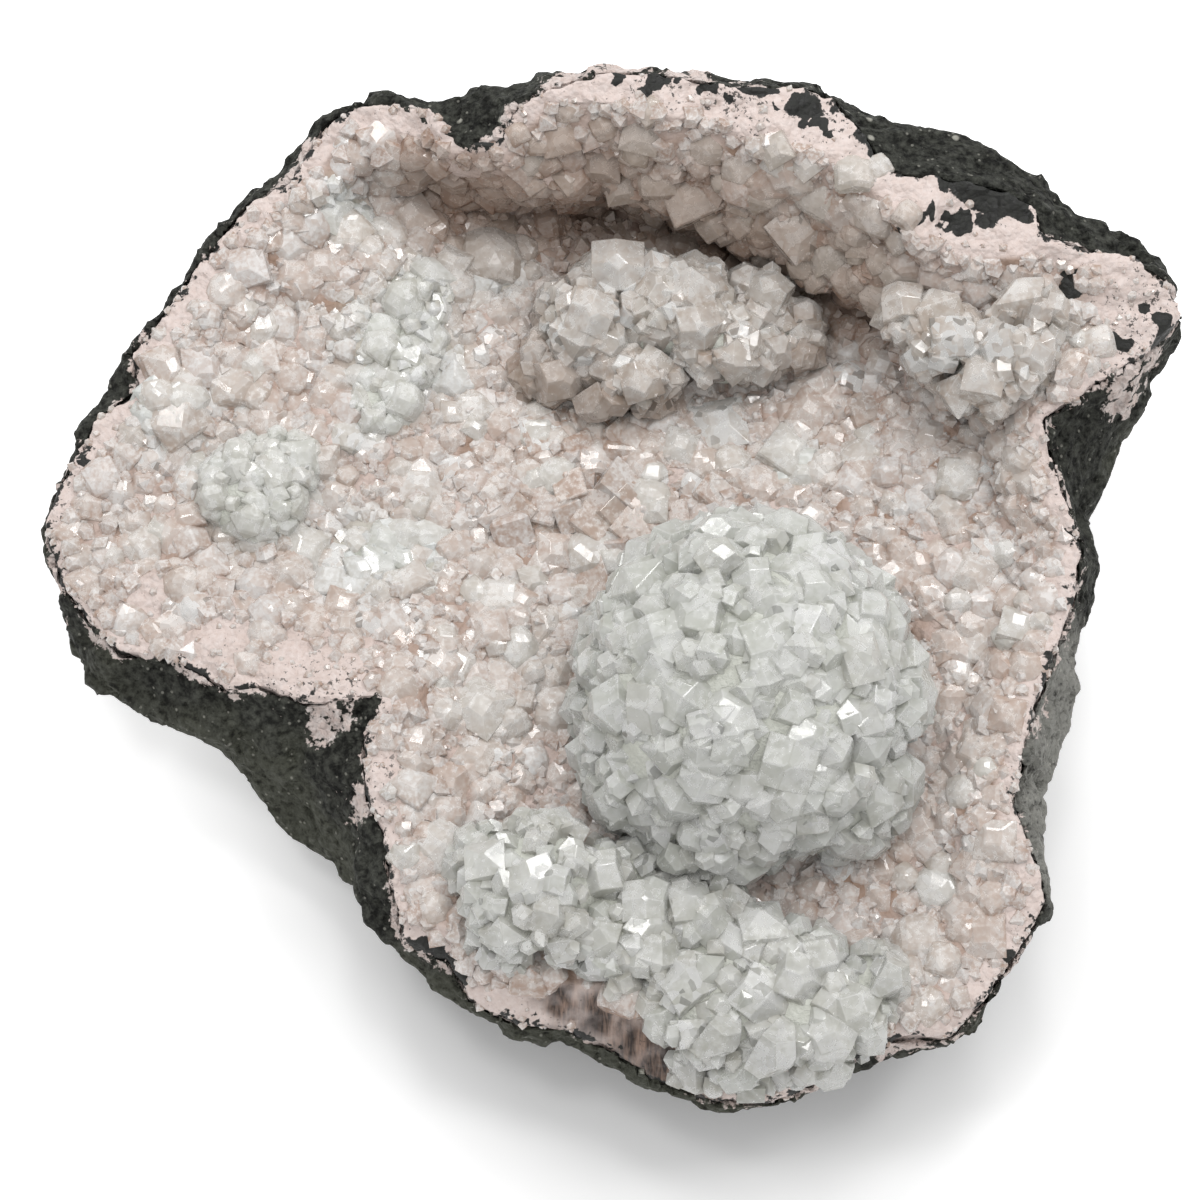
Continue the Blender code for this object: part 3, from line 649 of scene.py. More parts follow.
def standsOf(feet, axes, widths, lengths, tones):
    return {"foot": np.array(feet), "axis": np.array(axes), "width": np.array(widths),
            "length": np.array(lengths), "tone": np.array(tones)}


def leaning(axis, lean, rng):
    axis = np.array(axis) / np.linalg.norm(axis) + rng.uniform(-lean, lean, 3)
    return axis / np.linalg.norm(axis)


def lobeStands(form, count, widths, reach, lean, rng):
    # Crystals spread over the outside of some lobes, each pointing out of its own lobe
    lobes = form["lobes"]
    total = sum(h[0] * h[1] for _, h in lobes)
    feet, axes, wide, long, tones = [], [], [], [], []
    for lobe in lobes:
        centre, halves = lobe
        share = round(count * halves[0] * halves[1] / total * 1.6)
        for i in range(share):
            up = 1 - 2 * (i + rng.uniform(0.1, 0.9)) / share
            if up < form["lowest"]:
                continue
            around = i * math.pi * (3 - math.sqrt(5)) + rng.uniform(-0.35, 0.35)
            flat = math.sqrt(1 - up * up)
            way = np.array([flat * math.cos(around), flat * math.sin(around), up])
            skin = np.array(centre) + np.array(halves) * way
            if any(insideLobe(skin, other) for other in lobes if other is not lobe):
                continue
            axis = leaning(way / np.array(halves), lean, rng)
            rough = noise.noise(Vector(skin) / 17.0) + 0.5 * noise.noise(Vector(skin) / 7.0)
            lump = form["lump"] * rough
            width = rng.uniform(*widths)
            root = width * 0.5
            feet.append(skin + axis * (lump - root))
            axes.append(axis)
            wide.append(width)
            long.append(root + rng.uniform(*reach))
            tones.append(form["tone"] + rng.uniform(-0.1, 0.1))
    stands = standsOf(feet, axes, wide, long, np.clip(tones, 0, 1))
    stands["foot"] += np.array(blockShift)
    return stands


def crownStands(form, rng):
    # The single large crystals, each standing on the highest lobe at its place
    feet, axes, wide, long, tones = [], [], [], [], []
    for x, y, width, reach in form["crowns"]:
        best = None
        for centre, halves in form["lobes"]:
            left = 1 - ((x - centre[0]) / halves[0]) ** 2 - ((y - centre[1]) / halves[1]) ** 2
            height = centre[2] + halves[2] * math.sqrt(max(left, 0.0))
            if best is None or (left > 0.02 and height > best[0]):
                best = (height, centre, halves)
        height, centre, halves = best
        skin = np.array([x, y, height], float)
        axis = leaning((skin - np.array(centre)) / np.array(halves) ** 2, 0.25, rng)
        feet.append(skin - axis * width * 0.5)
        axes.append(axis)
        wide.append(width)
        long.append(width * 0.5 + reach)
        tones.append(form["tone"])
    stands = standsOf(feet, axes, wide, long, tones)
    stands["foot"] += np.array(blockShift)
    return stands


def buildCluster(name, form, finish, shapes):
    rng = np.random.default_rng(form["seed"])
    parts = [lobeCore(centre, halves, 1.4) for centre, halves in form["lobes"]]
    lean = form.get("lean", 0.3)
    groups = [lobeStands(form, form["large"], form["largeWidth"], form["largeReach"], lean, rng),
              lobeStands(form, form["small"], form["smallWidth"], form["smallReach"], lean + 0.15, rng),
              crownStands(form, rng)]
    for stands in groups:
        # crystals standing lower than the given height are tinted brown: partly stain, partly painted shade
        # under the cluster
        stands["stain"] = np.clip((form.get("stainAndShadeBelow", 0) - stands["foot"][:, 2]) / 10, 0, 1)
        crystals = standCrystals(name + "Crystals", shapes, stands, rng)
        crystals.data.materials.append(finish)
        parts.append(crystals)
    return joinPieces(name, parts)


apophylliteFinish = crystalMaterial("apophyllite", 130.0, crystalLook["transmission"], 0.6)
milkyFinish = milkyMaterial()
clusterNames = {"apophyllite_ball": "apophylliteBall", "upper_cluster": "upperCluster",
                "right_cluster": "rightCluster", "front_cluster": "frontCluster"}
for node, form in clusterForms.items():
    piece = buildCluster(clusterNames[node], form, apophylliteFinish, crystalShapes)
    finishPiece(piece, "apophyllite", node)

# Outlines of the hollow, clockwise from the left end: x, y, height in millimetres

hollow = {
    "hub": (4.0, 26.0),             # every outline is seen whole from here
    "longestStep": 8.0,             # degrees between two stations
    "shortestStep": 2.2,
    "thickness": 6.5,               # of the crust
    "edge": 5.0,                    # of the crust where it is broken off
    "groove": 3.0,                  # a lip this far over the floor begins to overhang
    "middle": 36.0,                 # height of the floor's middle
    "voxel": 0.95,
    "rim": [
        (-122, 18, 43), (-120, 26, 44), (-115, 34, 45), (-110, 46, 46), (-103, 49, 46),
        (-105, 57, 48), (-96, 67, 50), (-89, 78, 52), (-79, 90, 55), (-69, 95, 57),
        (-61, 107, 62), (-54, 110, 64), (-46, 110, 66), (-38, 107, 69), (-35, 101, 69),
        (-29, 97, 70), (-22, 98, 72), (-18, 104, 77), (-11, 106, 80), (0, 109, 82),
        (9, 109, 82), (22, 107, 82), (30, 105, 82), (44, 106, 81), (51, 104, 80),
        (56, 97, 79), (63, 87, 78), (72, 86, 78), (87, 84, 76), (94, 80, 75),
        (96, 74, 74), (106, 71, 73), (116, 69, 72), (123, 65, 70), (127, 58, 68),
        (122, 52, 66), (116, 48, 65), (109, 42, 64), (96, 37, 61), (97, 32, 60),
        (100, 20, 59), (104, 9, 57), (102, -4, 55), (97, -16, 53), (93, -26, 52),
        (88, -46, 50), (87, -54, 49), (91, -60, 48), (95, -67, 47), (88, -78, 44),
        (81, -88, 42), (74, -95, 40), (63, -95, 38), (53, -99, 36), (47, -103, 34),
        (37, -107, 32), (24, -107, 31), (11, -102, 31), (4, -97, 32), (-9, -91, 33),
        (-18, -91, 34), (-28, -86, 35), (-32, -78, 37), (-42, -74, 38), (-48, -69, 41),
        (-45, -60, 43), (-46, -52, 43), (-53, -37, 45), (-51, -32, 45), (-46, -21, 46),
        (-54, -23, 46), (-64, -23, 45), (-71, -20, 44), (-82, -19, 43), (-93, -12, 43),
        (-105, -11, 42), (-113, -2, 42), (-119, 6, 42),
    ],
    "shelf": [                      # inner edge of the broken band along the rim
        (-117, 17, 44), (-115, 28, 45), (-104, 39, 47), (-97, 54, 50), (-86, 68, 52),
        (-75, 84, 55), (-64, 94, 58), (-57, 104, 61), (-44, 104, 65), (-35, 98, 66),
        (-22, 94, 69), (-15, 100, 76), (-9, 103, 79), (0, 102, 81), (11, 99, 81),
        (22, 99, 80), (33, 93, 80), (43, 91, 79), (53, 89, 78), (60, 82, 77),
        (68, 73, 75), (76, 69, 73), (85, 69, 71), (93, 70, 72), (106, 67, 72),
        (115, 62, 70), (111, 52, 67), (100, 43, 64), (93, 36, 61), (93, 30, 58),
        (96, 19, 56), (99, 9, 55), (98, -1, 54), (93, -14, 52), (88, -27, 51),
        (85, -39, 49), (83, -52, 47), (87, -63, 46), (85, -73, 44), (76, -85, 42),
        (69, -91, 41), (55, -94, 40), (40, -101, 38), (27, -102, 38), (19, -96, 40),
        (9, -89, 41), (0, -84, 41), (-13, -84, 41), (-23, -80, 41), (-30, -74, 42),
        (-39, -69, 42), (-41, -60, 43), (-42, -51, 44), (-46, -41, 45), (-46, -33, 46),
        (-42, -21, 46), (-54, -19, 46), (-67, -18, 45), (-83, -13, 44), (-98, -9, 43),
        (-108, -2, 43), (-114, 6, 43),
    ],
    "lip": [                        # lower edge of the wall under that band
        (-112, 16, 43), (-110, 28, 44), (-98, 39, 46), (-91, 53, 48), (-80, 66, 50),
        (-70, 81, 53), (-60, 92, 56), (-55, 99, 59), (-45, 100, 61), (-33, 95, 61),
        (-22, 92, 61), (-9, 92, 60), (0, 93, 58), (11, 90, 56), (22, 86, 54),
        (30, 83, 52), (36, 80, 51), (45, 75, 50), (51, 72, 50), (59, 68, 50),
        (66, 64, 52), (67, 56, 54), (71, 48, 56), (76, 43, 56), (88, 38, 56),
        (90, 34, 56), (90, 29, 54), (92, 19, 53), (94, 9, 52), (92, -2, 51),
        (87, -13, 50), (83, -26, 48), (80, -39, 46), (78, -51, 44), (82, -64, 43),
        (76, -75, 42), (68, -83, 41), (53, -90, 40), (40, -95, 38), (30, -97, 38),
        (21, -89, 39), (11, -82, 40), (0, -78, 40), (-13, -78, 40), (-22, -73, 40),
        (-31, -67, 41), (-36, -60, 42), (-37, -49, 43), (-41, -38, 44), (-40, -29, 44),
        (-38, -18, 44), (-54, -12, 44), (-68, -11, 43), (-83, -6, 43), (-96, -1, 42),
        (-105, 6, 42),
    ],
    "floor": [                      # where the floor begins, drawn back under the lip
        (-106, 16, 42), (-104, 29, 43), (-91, 40, 44), (-85, 54, 46), (-75, 65, 47),
        (-66, 79, 49), (-57, 89, 50), (-52, 96, 48), (-43, 98, 44), (-34, 97, 41),
        (-23, 96, 39), (-9, 98, 37), (0, 98, 36), (12, 96, 36), (23, 92, 36),
        (31, 89, 36), (37, 86, 36), (46, 81, 36), (52, 78, 37), (61, 75, 38),
        (70, 70, 40), (73, 62, 42), (76, 53, 43), (80, 47, 44), (86, 39, 46),
        (86, 33, 48), (86, 26, 48), (89, 11, 47), (87, -1, 46), (83, -11, 45),
        (79, -25, 44), (76, -38, 42), (73, -51, 41), (76, -64, 40), (70, -73, 39),
        (62, -79, 38), (51, -84, 37), (40, -88, 36), (30, -90, 36), (21, -84, 37),
        (11, -76, 38), (0, -72, 38), (-13, -72, 38), (-23, -68, 38), (-29, -62, 39),
        (-32, -55, 40), (-33, -46, 41), (-36, -35, 42), (-36, -28, 42), (-34, -16, 42),
        (-54, -6, 42), (-68, -5, 42), (-81, 0, 42), (-92, 4, 42), (-100, 9, 42),
    ],
}


def outlinePoint(outline, angle):
    # Radius and height where the ray from the hub at this angle crosses an outline
    hubX, hubY = hollow["hub"]
    along = (math.cos(angle), math.sin(angle))
    found = None
    for (ax, ay, az), (bx, by, bz) in zip(outline, outline[1:] + outline[:1]):
        sideA = (ax - hubX) * along[1] - (ay - hubY) * along[0]
        sideB = (bx - hubX) * along[1] - (by - hubY) * along[0]
        if sideA * sideB > 0 or sideA == sideB:
            continue
        share = sideA / (sideA - sideB)
        x = ax + (bx - ax) * share - hubX
        y = ay + (by - ay) * share - hubY
        radius = x * along[0] + y * along[1]
        if radius > 0 and (found is None or radius > found[0]):
            found = (radius, az + (bz - az) * share)
    return found


def stationAngles():
    hubX, hubY = hollow["hub"]
    kept = []
    for angle in sorted(math.atan2(y - hubY, x - hubX) for x, y, _ in hollow["rim"]):
        if not kept or math.degrees(angle - kept[-1]) >= hollow["shortestStep"]:
            kept.append(angle)
    angles = []
    for here, after in zip(kept, kept[1:] + [kept[0] + math.tau]):
        parts = max(1, math.ceil(math.degrees(after - here) / hollow["longestStep"]))
        angles += [here + (after - here) * i / parts for i in range(parts)]
    return angles


angles = stationAngles()
ringNames = ("rim", "shelf", "lip", "floor")
rings = {name: [outlinePoint(hollow[name], a) for a in angles] for name in ringNames}


hubX = hollow["hub"][0] + blockShift[0]
hubY = hollow["hub"][1] + blockShift[1]


def shrunkRing(share):
    middle = hollow["middle"]
    return [(r * share, middle + (z - middle) * share**1.5) for r, z in rings["floor"]]


def moved(ring, up):
    return [(r, z + up) for r, z in ring]


def ringPlaces(ring):
    return [((hubX + r * math.cos(a)) * mm, (hubY + r * math.sin(a)) * mm, z * mm)
            for (r, z), a in zip(ring, angles)]


def crustRings():
    thick = hollow["thickness"]
    top = [rings[name] for name in ringNames] + [shrunkRing(0.62), shrunkRing(0.28)]
    lipBack, floorBack = [], []
    for (lipR, lipZ), (floorR, floorZ) in zip(rings["lip"], rings["floor"]):
        hang = min(max((lipZ - floorZ - hollow["groove"]) / thick, 0), 1)
        wallR = lipR + (max(lipR, floorR) + 4 - lipR) * hang
        wallZ = lipZ - thick + ((lipZ + floorZ) / 2 - lipZ + thick) * hang
        lipBack.append((wallR, wallZ))
        floorBack.append((floorR + 3 * hang, floorZ - thick))
    back = [moved(rings["rim"], -hollow["edge"]), moved(rings["shelf"], -thick), lipBack, floorBack,
            moved(shrunkRing(0.5), -thick)]
    return [ringPlaces(ring) for ring in reversed(top)], [ringPlaces(ring) for ring in back]


def loftByHand(name, rows, first, last):
    # A circle is drawn out ring by ring, and closed with a fan to a point at each end
    count = len(rows[0])
    deselectAll()
    bpy.ops.mesh.primitive_circle_add(vertices=count, radius=0.1)
    shape = bpy.context.object
    shape.name = name
    bpy.ops.object.mode_set(mode="EDIT")
    edit = bmesh.from_edit_mesh(shape.data)
    station = edit.verts.layers.int.new("station")
    for number, vert in enumerate(edit.verts):
        vert[station] = number
        vert.co = rows[0][number]
    bmesh.update_edit_mesh(shape.data)
    for row in rows[1:]:
        bpy.ops.mesh.select_mode(type="VERT")
        bpy.ops.mesh.extrude_edges_move()
        edit = bmesh.from_edit_mesh(shape.data)
        station = edit.verts.layers.int["station"]
        for vert in edit.verts:
            if vert.select:
                vert.co = row[vert[station]]
        bmesh.update_edit_mesh(shape.data)
    for place in (last, first):
        bpy.ops.mesh.edge_face_add()
        bpy.ops.mesh.poke()
        edit = bmesh.from_edit_mesh(shape.data)
        tip = max(edit.verts, key=lambda vert: len(vert.link_edges))
        tip.co = place
        for vert in edit.verts:
            vert.select = vert.is_boundary
        edit.select_flush(True)
        for edge in edit.edges:
            edge.select = edge.is_boundary
        bmesh.update_edit_mesh(shape.data)
    bpy.ops.mesh.select_all(action="SELECT")
    bpy.ops.mesh.normals_make_consistent(inside=False)
    bpy.ops.object.mode_set(mode="OBJECT")
    return shape


def useModifier(piece, kind, **values):
    makeActive(piece)
    modifier = piece.modifiers.new(kind.title(), kind)
    for key, value in values.items():
        setattr(modifier, key, value)
    bpy.ops.object.modifier_apply(modifier=modifier.name)


def cornersOf(piece):
    found = np.empty(len(piece.data.vertices) * 3, np.float32)
    piece.data.vertices.foreach_get("co", found)
    return found.reshape(-1, 3).astype(float)


def normalsOf(piece):
    found = np.empty(len(piece.data.vertices) * 3, np.float32)
    piece.data.vertex_normals.foreach_get("vector", found)
    return found.reshape(-1, 3).astype(float)


def placeCorners(piece, corners):
    piece.data.vertices.foreach_set("co", np.asarray(corners, np.float32).ravel())
    piece.data.update()


def noiseAt(points, size, seed):
    # Smooth noise from -1 to 1 whose lumps are about this many millimetres
    scaled = points / (size * mm) + seed * 7.31
    return np.array([noise.noise(Vector(p)) for p in scaled])


def chipsAt(points, size, seed, blend=0.12):
    # Flat chips: each cell of the rock leans its own way, from about -1 to 1
    out = np.empty(len(points))
    scaled = points / (size * mm) + seed * 3.77
    for number, p in enumerate(scaled):
        spans, centres = noise.voronoi(Vector(p))
        here = [(Vector(p) - centre).dot(noise.cell_vector(centre * 9.1) * 2 - Vector((1, 1, 1)))
                for centre in centres[:2]]
        share = 0.5 + 0.5 * min((spans[1] - spans[0]) / blend, 1)
        out[number] = here[0] * share + here[1] * (1 - share)
    return out


def pitsAt(points, size, seed, chance=1.0):
    # Round pits: 1 in the middle of a pit, 0 outside it
    out = np.zeros(len(points))
    scaled = points / (size * mm) + seed * 5.13
    for number, p in enumerate(scaled):
        spans, centres = noise.voronoi(Vector(p))
        if noise.cell(centres[0] * 7.7) < chance:
            out[number] = max(0.0, 1 - (spans[0] / 0.33) ** 2)
    return out


def patchesAt(corners, patches, soft=0.6):
    # 1 inside the listed round patches (x, y, radius), fading out over their edges
    out = np.zeros(len(corners))
    for x, y, radius in patches:
        aside = corners[:, 0] / mm - x - blockShift[0]
        ahead = corners[:, 1] / mm - y - blockShift[1]
        away = np.hypot(aside, ahead) / radius
        out = np.maximum(out, np.clip((1 + soft - away) / (2 * soft), 0, 1))
    return out


def ringRadius(corners, name):
    # Radius of a ring at each corner's angle about the hub, and the corner's own radius
    x = corners[:, 0] / mm - hollow["hub"][0] - blockShift[0]
    y = corners[:, 1] / mm - hollow["hub"][1] - blockShift[1]
    around = np.mod(np.arctan2(y, x) - angles[0], math.tau)
    steps = np.array([a - angles[0] for a in angles] + [math.tau])
    radii = np.array([r for r, _ in rings[name]] + [rings[name][0][0]])
    return np.interp(around, steps, radii), np.hypot(x, y)


# The pink crust

basaltLook = {                      # read by the crust as well, where the rock shows through
    "dark": (0.007, 0.007, 0.006),
    "grey": (0.028, 0.029, 0.025),
    "green": (0.064, 0.066, 0.049),
    "pale": (0.15, 0.155, 0.13),
    "porous": (0.33, 0.325, 0.30),
    "frost": (0.70, 0.63, 0.60),
    "fleck": (0.50, 0.49, 0.43),
}

crust = {
    "pale": (0.76, 0.665, 0.63),
    "pink": (0.66, 0.545, 0.50),
    "green": (0.50, 0.51, 0.45),
    "crevice": (0.34, 0.225, 0.165),
    # brown of the groove's floor: partly stain, partly painted shadow under the lip
    "brownStainAndShadow": (0.16, 0.10, 0.072),
    "torn": (0.035, 0.024, 0.020),
    "fibre": (0.30, 0.205, 0.16),
    "gold": (0.70, 0.42, 0.12),
    "fleck": (0.05, 0.045, 0.04),
    "islands": [                    # basalt that shows through the pale band
        (4, 108, 2), (12, 107, 3), (17, 109, 2), (23, 106, 2), (28, 103, 2), (35, 106, 3), (38, 100, 1),
        (45, 102, 4), (48, 97, 2), (67, 76, 2), (71, 77, 2), (75, 76, 2), (79, 76, 2), (83, 78, 1),
        (61, 96, 5), (67, 94, 6), (73, 91, 6), (79, 87, 6), (85, 83, 5), (91, 80, 4),
        (102, 64, 3), (119, 60, 2), (123, 54, 3), (113, 52, 2), (117, 45, 2), (109, 42, 2), (126, 63, 2),
        (-106, 52, 3), (-114, 32, 2), (-36, -80, 5), (-31, -82, 3),
    ],
    "speckles": [                   # where the pale band is strewn with black grains
        (117, 53, 10), (123, 62, 7), (-55, -21, 9), (-48, -40, 9), (-66, -20, 6), (-47, -58, 6),
        (-118, 24, 5), (30, 104, 9), (12, 106, 7), (50, 100, 6),
    ],
    "whole": [(-8, 108, 9), (6, 110, 10), (20, 108, 10), (33, 106, 9)],    # frosted right to the rim
    "greens": [                     # where the crust turns to pale green apophyllite
        (-44, 60, 12), (-43, 73, 8), (-76, 27, 12), (-51, 13, 9), (-41, 13, 7), (-25, 82, 7), (-57, 90, 5),
        (-97, 44, 7), (44, 34, 5),
    ],
    "fines": [                      # where it is a fine frosting without large crystals
        (-66, -14, 10), (-83, -8, 9), (-48, -38, 7), (-99, 2, 7), (-45, -55, 5), (114, 60, 10),
        (-55, -18, 8),
    ],
    "brownStainsAndShadows": [                     # the floor of the groove, brown partly from stain and partly as painted shadow under the lip, and the broken front
        (-34, 95, 7), (-23, 94, 7), (-9, 95, 8), (0, 95, 8), (12, 93, 8), (23, 89, 8), (33, 85, 7),
        (46, 78, 7), (57, 73, 7), (66, 67, 5),
    ],
    "broken": [(-8, -87, 4), (0, -90, 5), (7, -95, 6), (13, -101, 7), (19, -106, 6)],
    "mounds": {
        "lobes": [((-45, 60, 41), (9, 11, 6)), ((-42, 72, 42), (8, 9, 6)), ((-49, 49, 41), (8, 9, 4)),
                  ((-77, 27, 41), (13, 12, 7)), ((-70, 34, 41), (8, 8, 5))],
        "crowns": [(-38, 78, 9, 4), (-45, 70, 9, 5), (-49, 60, 8, 4), (-43, 47, 8, 5), (-36, 63, 8, 4),
                   (-80, 34, 7, 4), (-71, 29, 8, 3), (-77, 18, 7, 4), (-86, 24, 7, 3)],
        "large": 60, "largeWidth": (5.0, 8.5), "largeReach": (0.8, 2.6),
        "small": 150, "smallWidth": (2.8, 4.8), "smallReach": (0.8, 2.4),
        "lowest": 0.0, "lump": 1.6, "tone": 0.12, "seed": 44, "lean": 0.3,
    },
    "floorSeen": 42,                # heights at which the camera's sight line meets these x and y
    "wallSeen": 64,
    "larges": [                     # single large crystals: x, y, width, standing height
        (-25, 84, 15, 9), (-57, 88, 11, 7), (-94, 44, 13, 7), (-82, 52, 11, 6), (-2, 13, 12, 8),
        (-18, 85, 8, 5), (27, 42, 13, 8), (42, 36, 11, 6),
        (79, 29, 10, 7), (82, 7, 10, 7), (81, -9, 10, 6), (90, -5, 8, 6), (78, -42, 9, 5),
        (72, -64, 10, 6), (68, -75, 12, 8), (58, 34, 11, 6), (11, 26, 10, 6), (-26, -24, 12, 8),
        (-31, -14, 9, 6), (-18, -10, 9, 6), (-34, -54, 11, 7), (-65, 13, 10, 6), (-101, 14, 9, 5),
        (-40, 28, 10, 6), (-10, 30, 10, 6), (-22, 2, 11, 6), (50, 82, 9, 5), (62, 72, 10, 7),
        (-42, 6, 9, 5), (-29, 46, 9, 5), (-14, 40, 9, 6), (-76, 66, 9, 5), (-90, 28, 9, 5),
        (-56, 40, 9, 5), (108, 60, 8, 4), (-48, 88, 9, 5), (62, 72, 10, 6),
    ],
    "wallLarges": [                 # the same on the far wall
        (0, 96, 10, 5), (9, 101, 9, 4), (20, 89, 13, 6), (31, 94, 9, 5), (35, 89, 11, 6), (44, 80, 12, 6),
        (55, 92, 9, 4), (60, 82, 10, 6), (66, 70, 10, 5), (55, 70, 9, 5), (-9, 101, 9, 4), (51, 75, 10, 5),
        (25, 83, 9, 5), (13, 92, 10, 5), (-16, 96, 8, 4), (40, 94, 9, 4), (48, 87, 10, 5), (5, 91, 9, 4),
    ],
    # count, spacing, widths and standing height of the crystals strewn over the rest
    "medium": (1100, 4.7, (5.2, 9.8), (0.20, 0.42)),
    "small": (2300, 2.5, (2.6, 4.8), (0.25, 0.6)),
    "micro": (3400, 0.0, (0.9, 2.0), (0.3, 0.8)),
}


def treeOf(rows, last):
    # A search tree of the surface through some rings, closed with a fan
    count = len(rows[0])
    places = [Vector(p) for row in rows for p in row] + [Vector(last)]
    faces = []
    for i in range(count):
        j = (i + 1) % count
        for band in range(len(rows) - 1):
            low, high = band * count, (band + 1) * count
            faces.append((low + i, low + j, high + j, high + i))
        faces.append(((len(rows) - 1) * count + i, (len(rows) - 1) * count + j, len(places) - 1))
    return BVHTree.FromPolygons(places, faces)


topRows, backRows = crustRings()
crustTop = (hubX * mm, hubY * mm, hollow["middle"] * mm)
crustBottom = (hubX * mm, hubY * mm, (hollow["middle"] - hollow["thickness"]) * mm)
crustBack = treeOf(backRows[1:], crustBottom)


def fromBack(corners):
    # How far each corner stands from the back of the crust, in millimetres
    return np.array([crustBack.find_nearest(Vector(c))[3] for c in corners]) / mm


# Crystals near the groove turn brown, more the lower they stand: partly stain, partly painted shade under
# the lip
stainedAndShadedWall = [(x, y, radius * 1.5) for x, y, radius in crust["brownStainsAndShadows"]]


def crustSurface():
    # The crust's own solid, its top thrown into lumps, with what the finishes need to know
    bed = loftByHand("crustBed", topRows + backRows, crustTop, crustBottom)
    useModifier(bed, "REMESH", mode="VOXEL", voxel_size=hollow["voxel"] * mm)
    thinOut(bed, fromBack(cornersOf(bed)) < 1.6)
    corners, normals = cornersOf(bed), normalsOf(bed)
    top = np.clip((fromBack(corners) - 1.5) / 2.0, 0, 1)
    rim, radius = ringRadius(corners, "rim")
    inner = np.clip((rim - radius) / 6.0, 0.35, 1)
    lumps = noiseAt(corners, 11.0, 1) * 1.9 * inner
    lumps += noiseAt(corners, 4.2, 2) * 1.0 + noiseAt(corners, 1.8, 3) * 0.35
    placeCorners(bed, corners + normals * (lumps * top * mm)[:, None])
    corners = cornersOf(bed)
    sway = np.stack([noiseAt(corners, 3.2, 4), noiseAt(corners, 3.2, 5), np.zeros(len(corners))], axis=1)
    ragged = corners + sway * 3.4 * mm      # so that the patches get ragged outlines
    shelf, radius = ringRadius(corners, "shelf")
    fine = patchesAt(ragged, crust["fines"])
    low = np.clip((58 - corners[:, 2] / mm) / 6, 0, 1)
    setAttribute(bed.data, "band", np.maximum(np.clip((radius - shelf + 1.2) / 2.4, 0, 1), fine))
    setAttribute(bed.data, "stone", patchesAt(ragged, crust["islands"], 0.35))
    broken = np.clip(1 - (rim - radius) / 6.0, 0, 1) * top
    setAttribute(bed.data, "edge", broken * (1 - patchesAt(corners, crust["whole"])))
    setAttribute(bed.data, "tone", patchesAt(corners, crust["greens"]))
    # brown on the groove's floor below the lip: partly stain, partly painted shadow
    setAttribute(bed.data, "brownStainAndShadow", patchesAt(ragged, crust["brownStainsAndShadows"]) * low)
    setAttribute(bed.data, "broken", patchesAt(ragged, crust["broken"]))
    setAttribute(bed.data, "speckled", patchesAt(ragged, crust["speckles"]))
    return bed, top


def thinOut(piece, hidden):
    # Fewer faces where nothing can be seen
    group = piece.vertex_groups.new(name="hidden")
    group.add([int(i) for i in np.flatnonzero(hidden)], 1.0, "REPLACE")
    share = 1 - 0.93 * hidden.mean()
    useModifier(piece, "DECIMATE", ratio=float(share), vertex_group="hidden", vertex_group_factor=10.0)
    piece.vertex_groups.clear()


def crustBedMaterial():
    made, tree, shader, place = startMaterial("crustBed")
    band, brownStainAndShadow = attributeNode(tree, "band"), attributeNode(tree, "brownStainAndShadow")
    stone, edge = attributeNode(tree, "stone"), attributeNode(tree, "edge")
    grain = groupNode(tree, grainGroup, place, Scale=700.0)
    tone = grain.outputs["Tone"]
    broad = noiseNode(tree, place, 90.0)
    deep = mixColour(tree, rangeNode(tree, broad, 0.35, 0.65), crust["crevice"], crust["pink"])
    deep = mixColour(tree, attributeNode(tree, "tone"), deep, crust["green"])
    # painted shadow and brown stain on the groove's floor
    deep = mixColour(tree, brownStainAndShadow, deep, crust["brownStainAndShadow"])
    specks = groupNode(tree, fleckGroup, place, Scale=620.0, Share=0.05)
    deep = mixColour(tree, times(tree, specks.outputs["Mask"], brownStainAndShadow), deep, crust["gold"])
    pale = mixColour(tree, rangeNode(tree, tone, 0.35, 0.7), crust["pink"], crust["pale"])
    body = mixColour(tree, band, deep, pale)
    stretch = nodeIn(tree, "ShaderNodeMapping")
    stretch.inputs["Scale"].default_value = (1.0, 0.16, 0.16)
    wire(tree, place, stretch.inputs["Vector"])
    fibres = noiseNode(tree, stretch.outputs["Vector"], 620.0, 3.0, 0.6, 0.4)
    torn = mixColour(tree, rangeNode(tree, fibres, 0.44, 0.66), crust["torn"], crust["fibre"])
    body = mixColour(tree, attributeNode(tree, "broken"), body, torn)
    grains = plus(tree, noiseNode(tree, place, 760.0, 3.0, 0.7),
                      times(tree, attributeNode(tree, "speckled"), 0.10))
    dark = times(tree, rangeNode(tree, grains, 0.66, 0.70), band)
    body = mixColour(tree, times(tree, dark, 0.9), body, crust["fleck"])
    rough = noiseNode(tree, place, 520.0, 4.0, 0.7)
    ragged = plus(tree, stone, times(tree, rough, 0.9))
    island = rangeNode(tree, ragged, 0.90, 0.98)
    chipped = plus(tree, times(tree, edge, 0.42), times(tree, rough, 0.5))
    chipped = plus(tree, chipped, noiseNode(tree, place, 170.0, 3.0, 0.6))
    island = mathNode(tree, "MAXIMUM", island, rangeNode(tree, chipped, 1.14, 1.18))
    rock = mixColour(tree, rangeNode(tree, tone, 0.4, 0.75), basaltLook["dark"], basaltLook["grey"])
    body = mixColour(tree, island, body, rock)
    wire(tree, body, shader.inputs["Base Color"])
    wire(tree, rangeNode(tree, tone, 0.3, 0.7, 0.45, 0.8), shader.inputs["Roughness"])
    bumpInto(tree, shader, grain.outputs["Height"], 0.6, 0.0007)
    return made


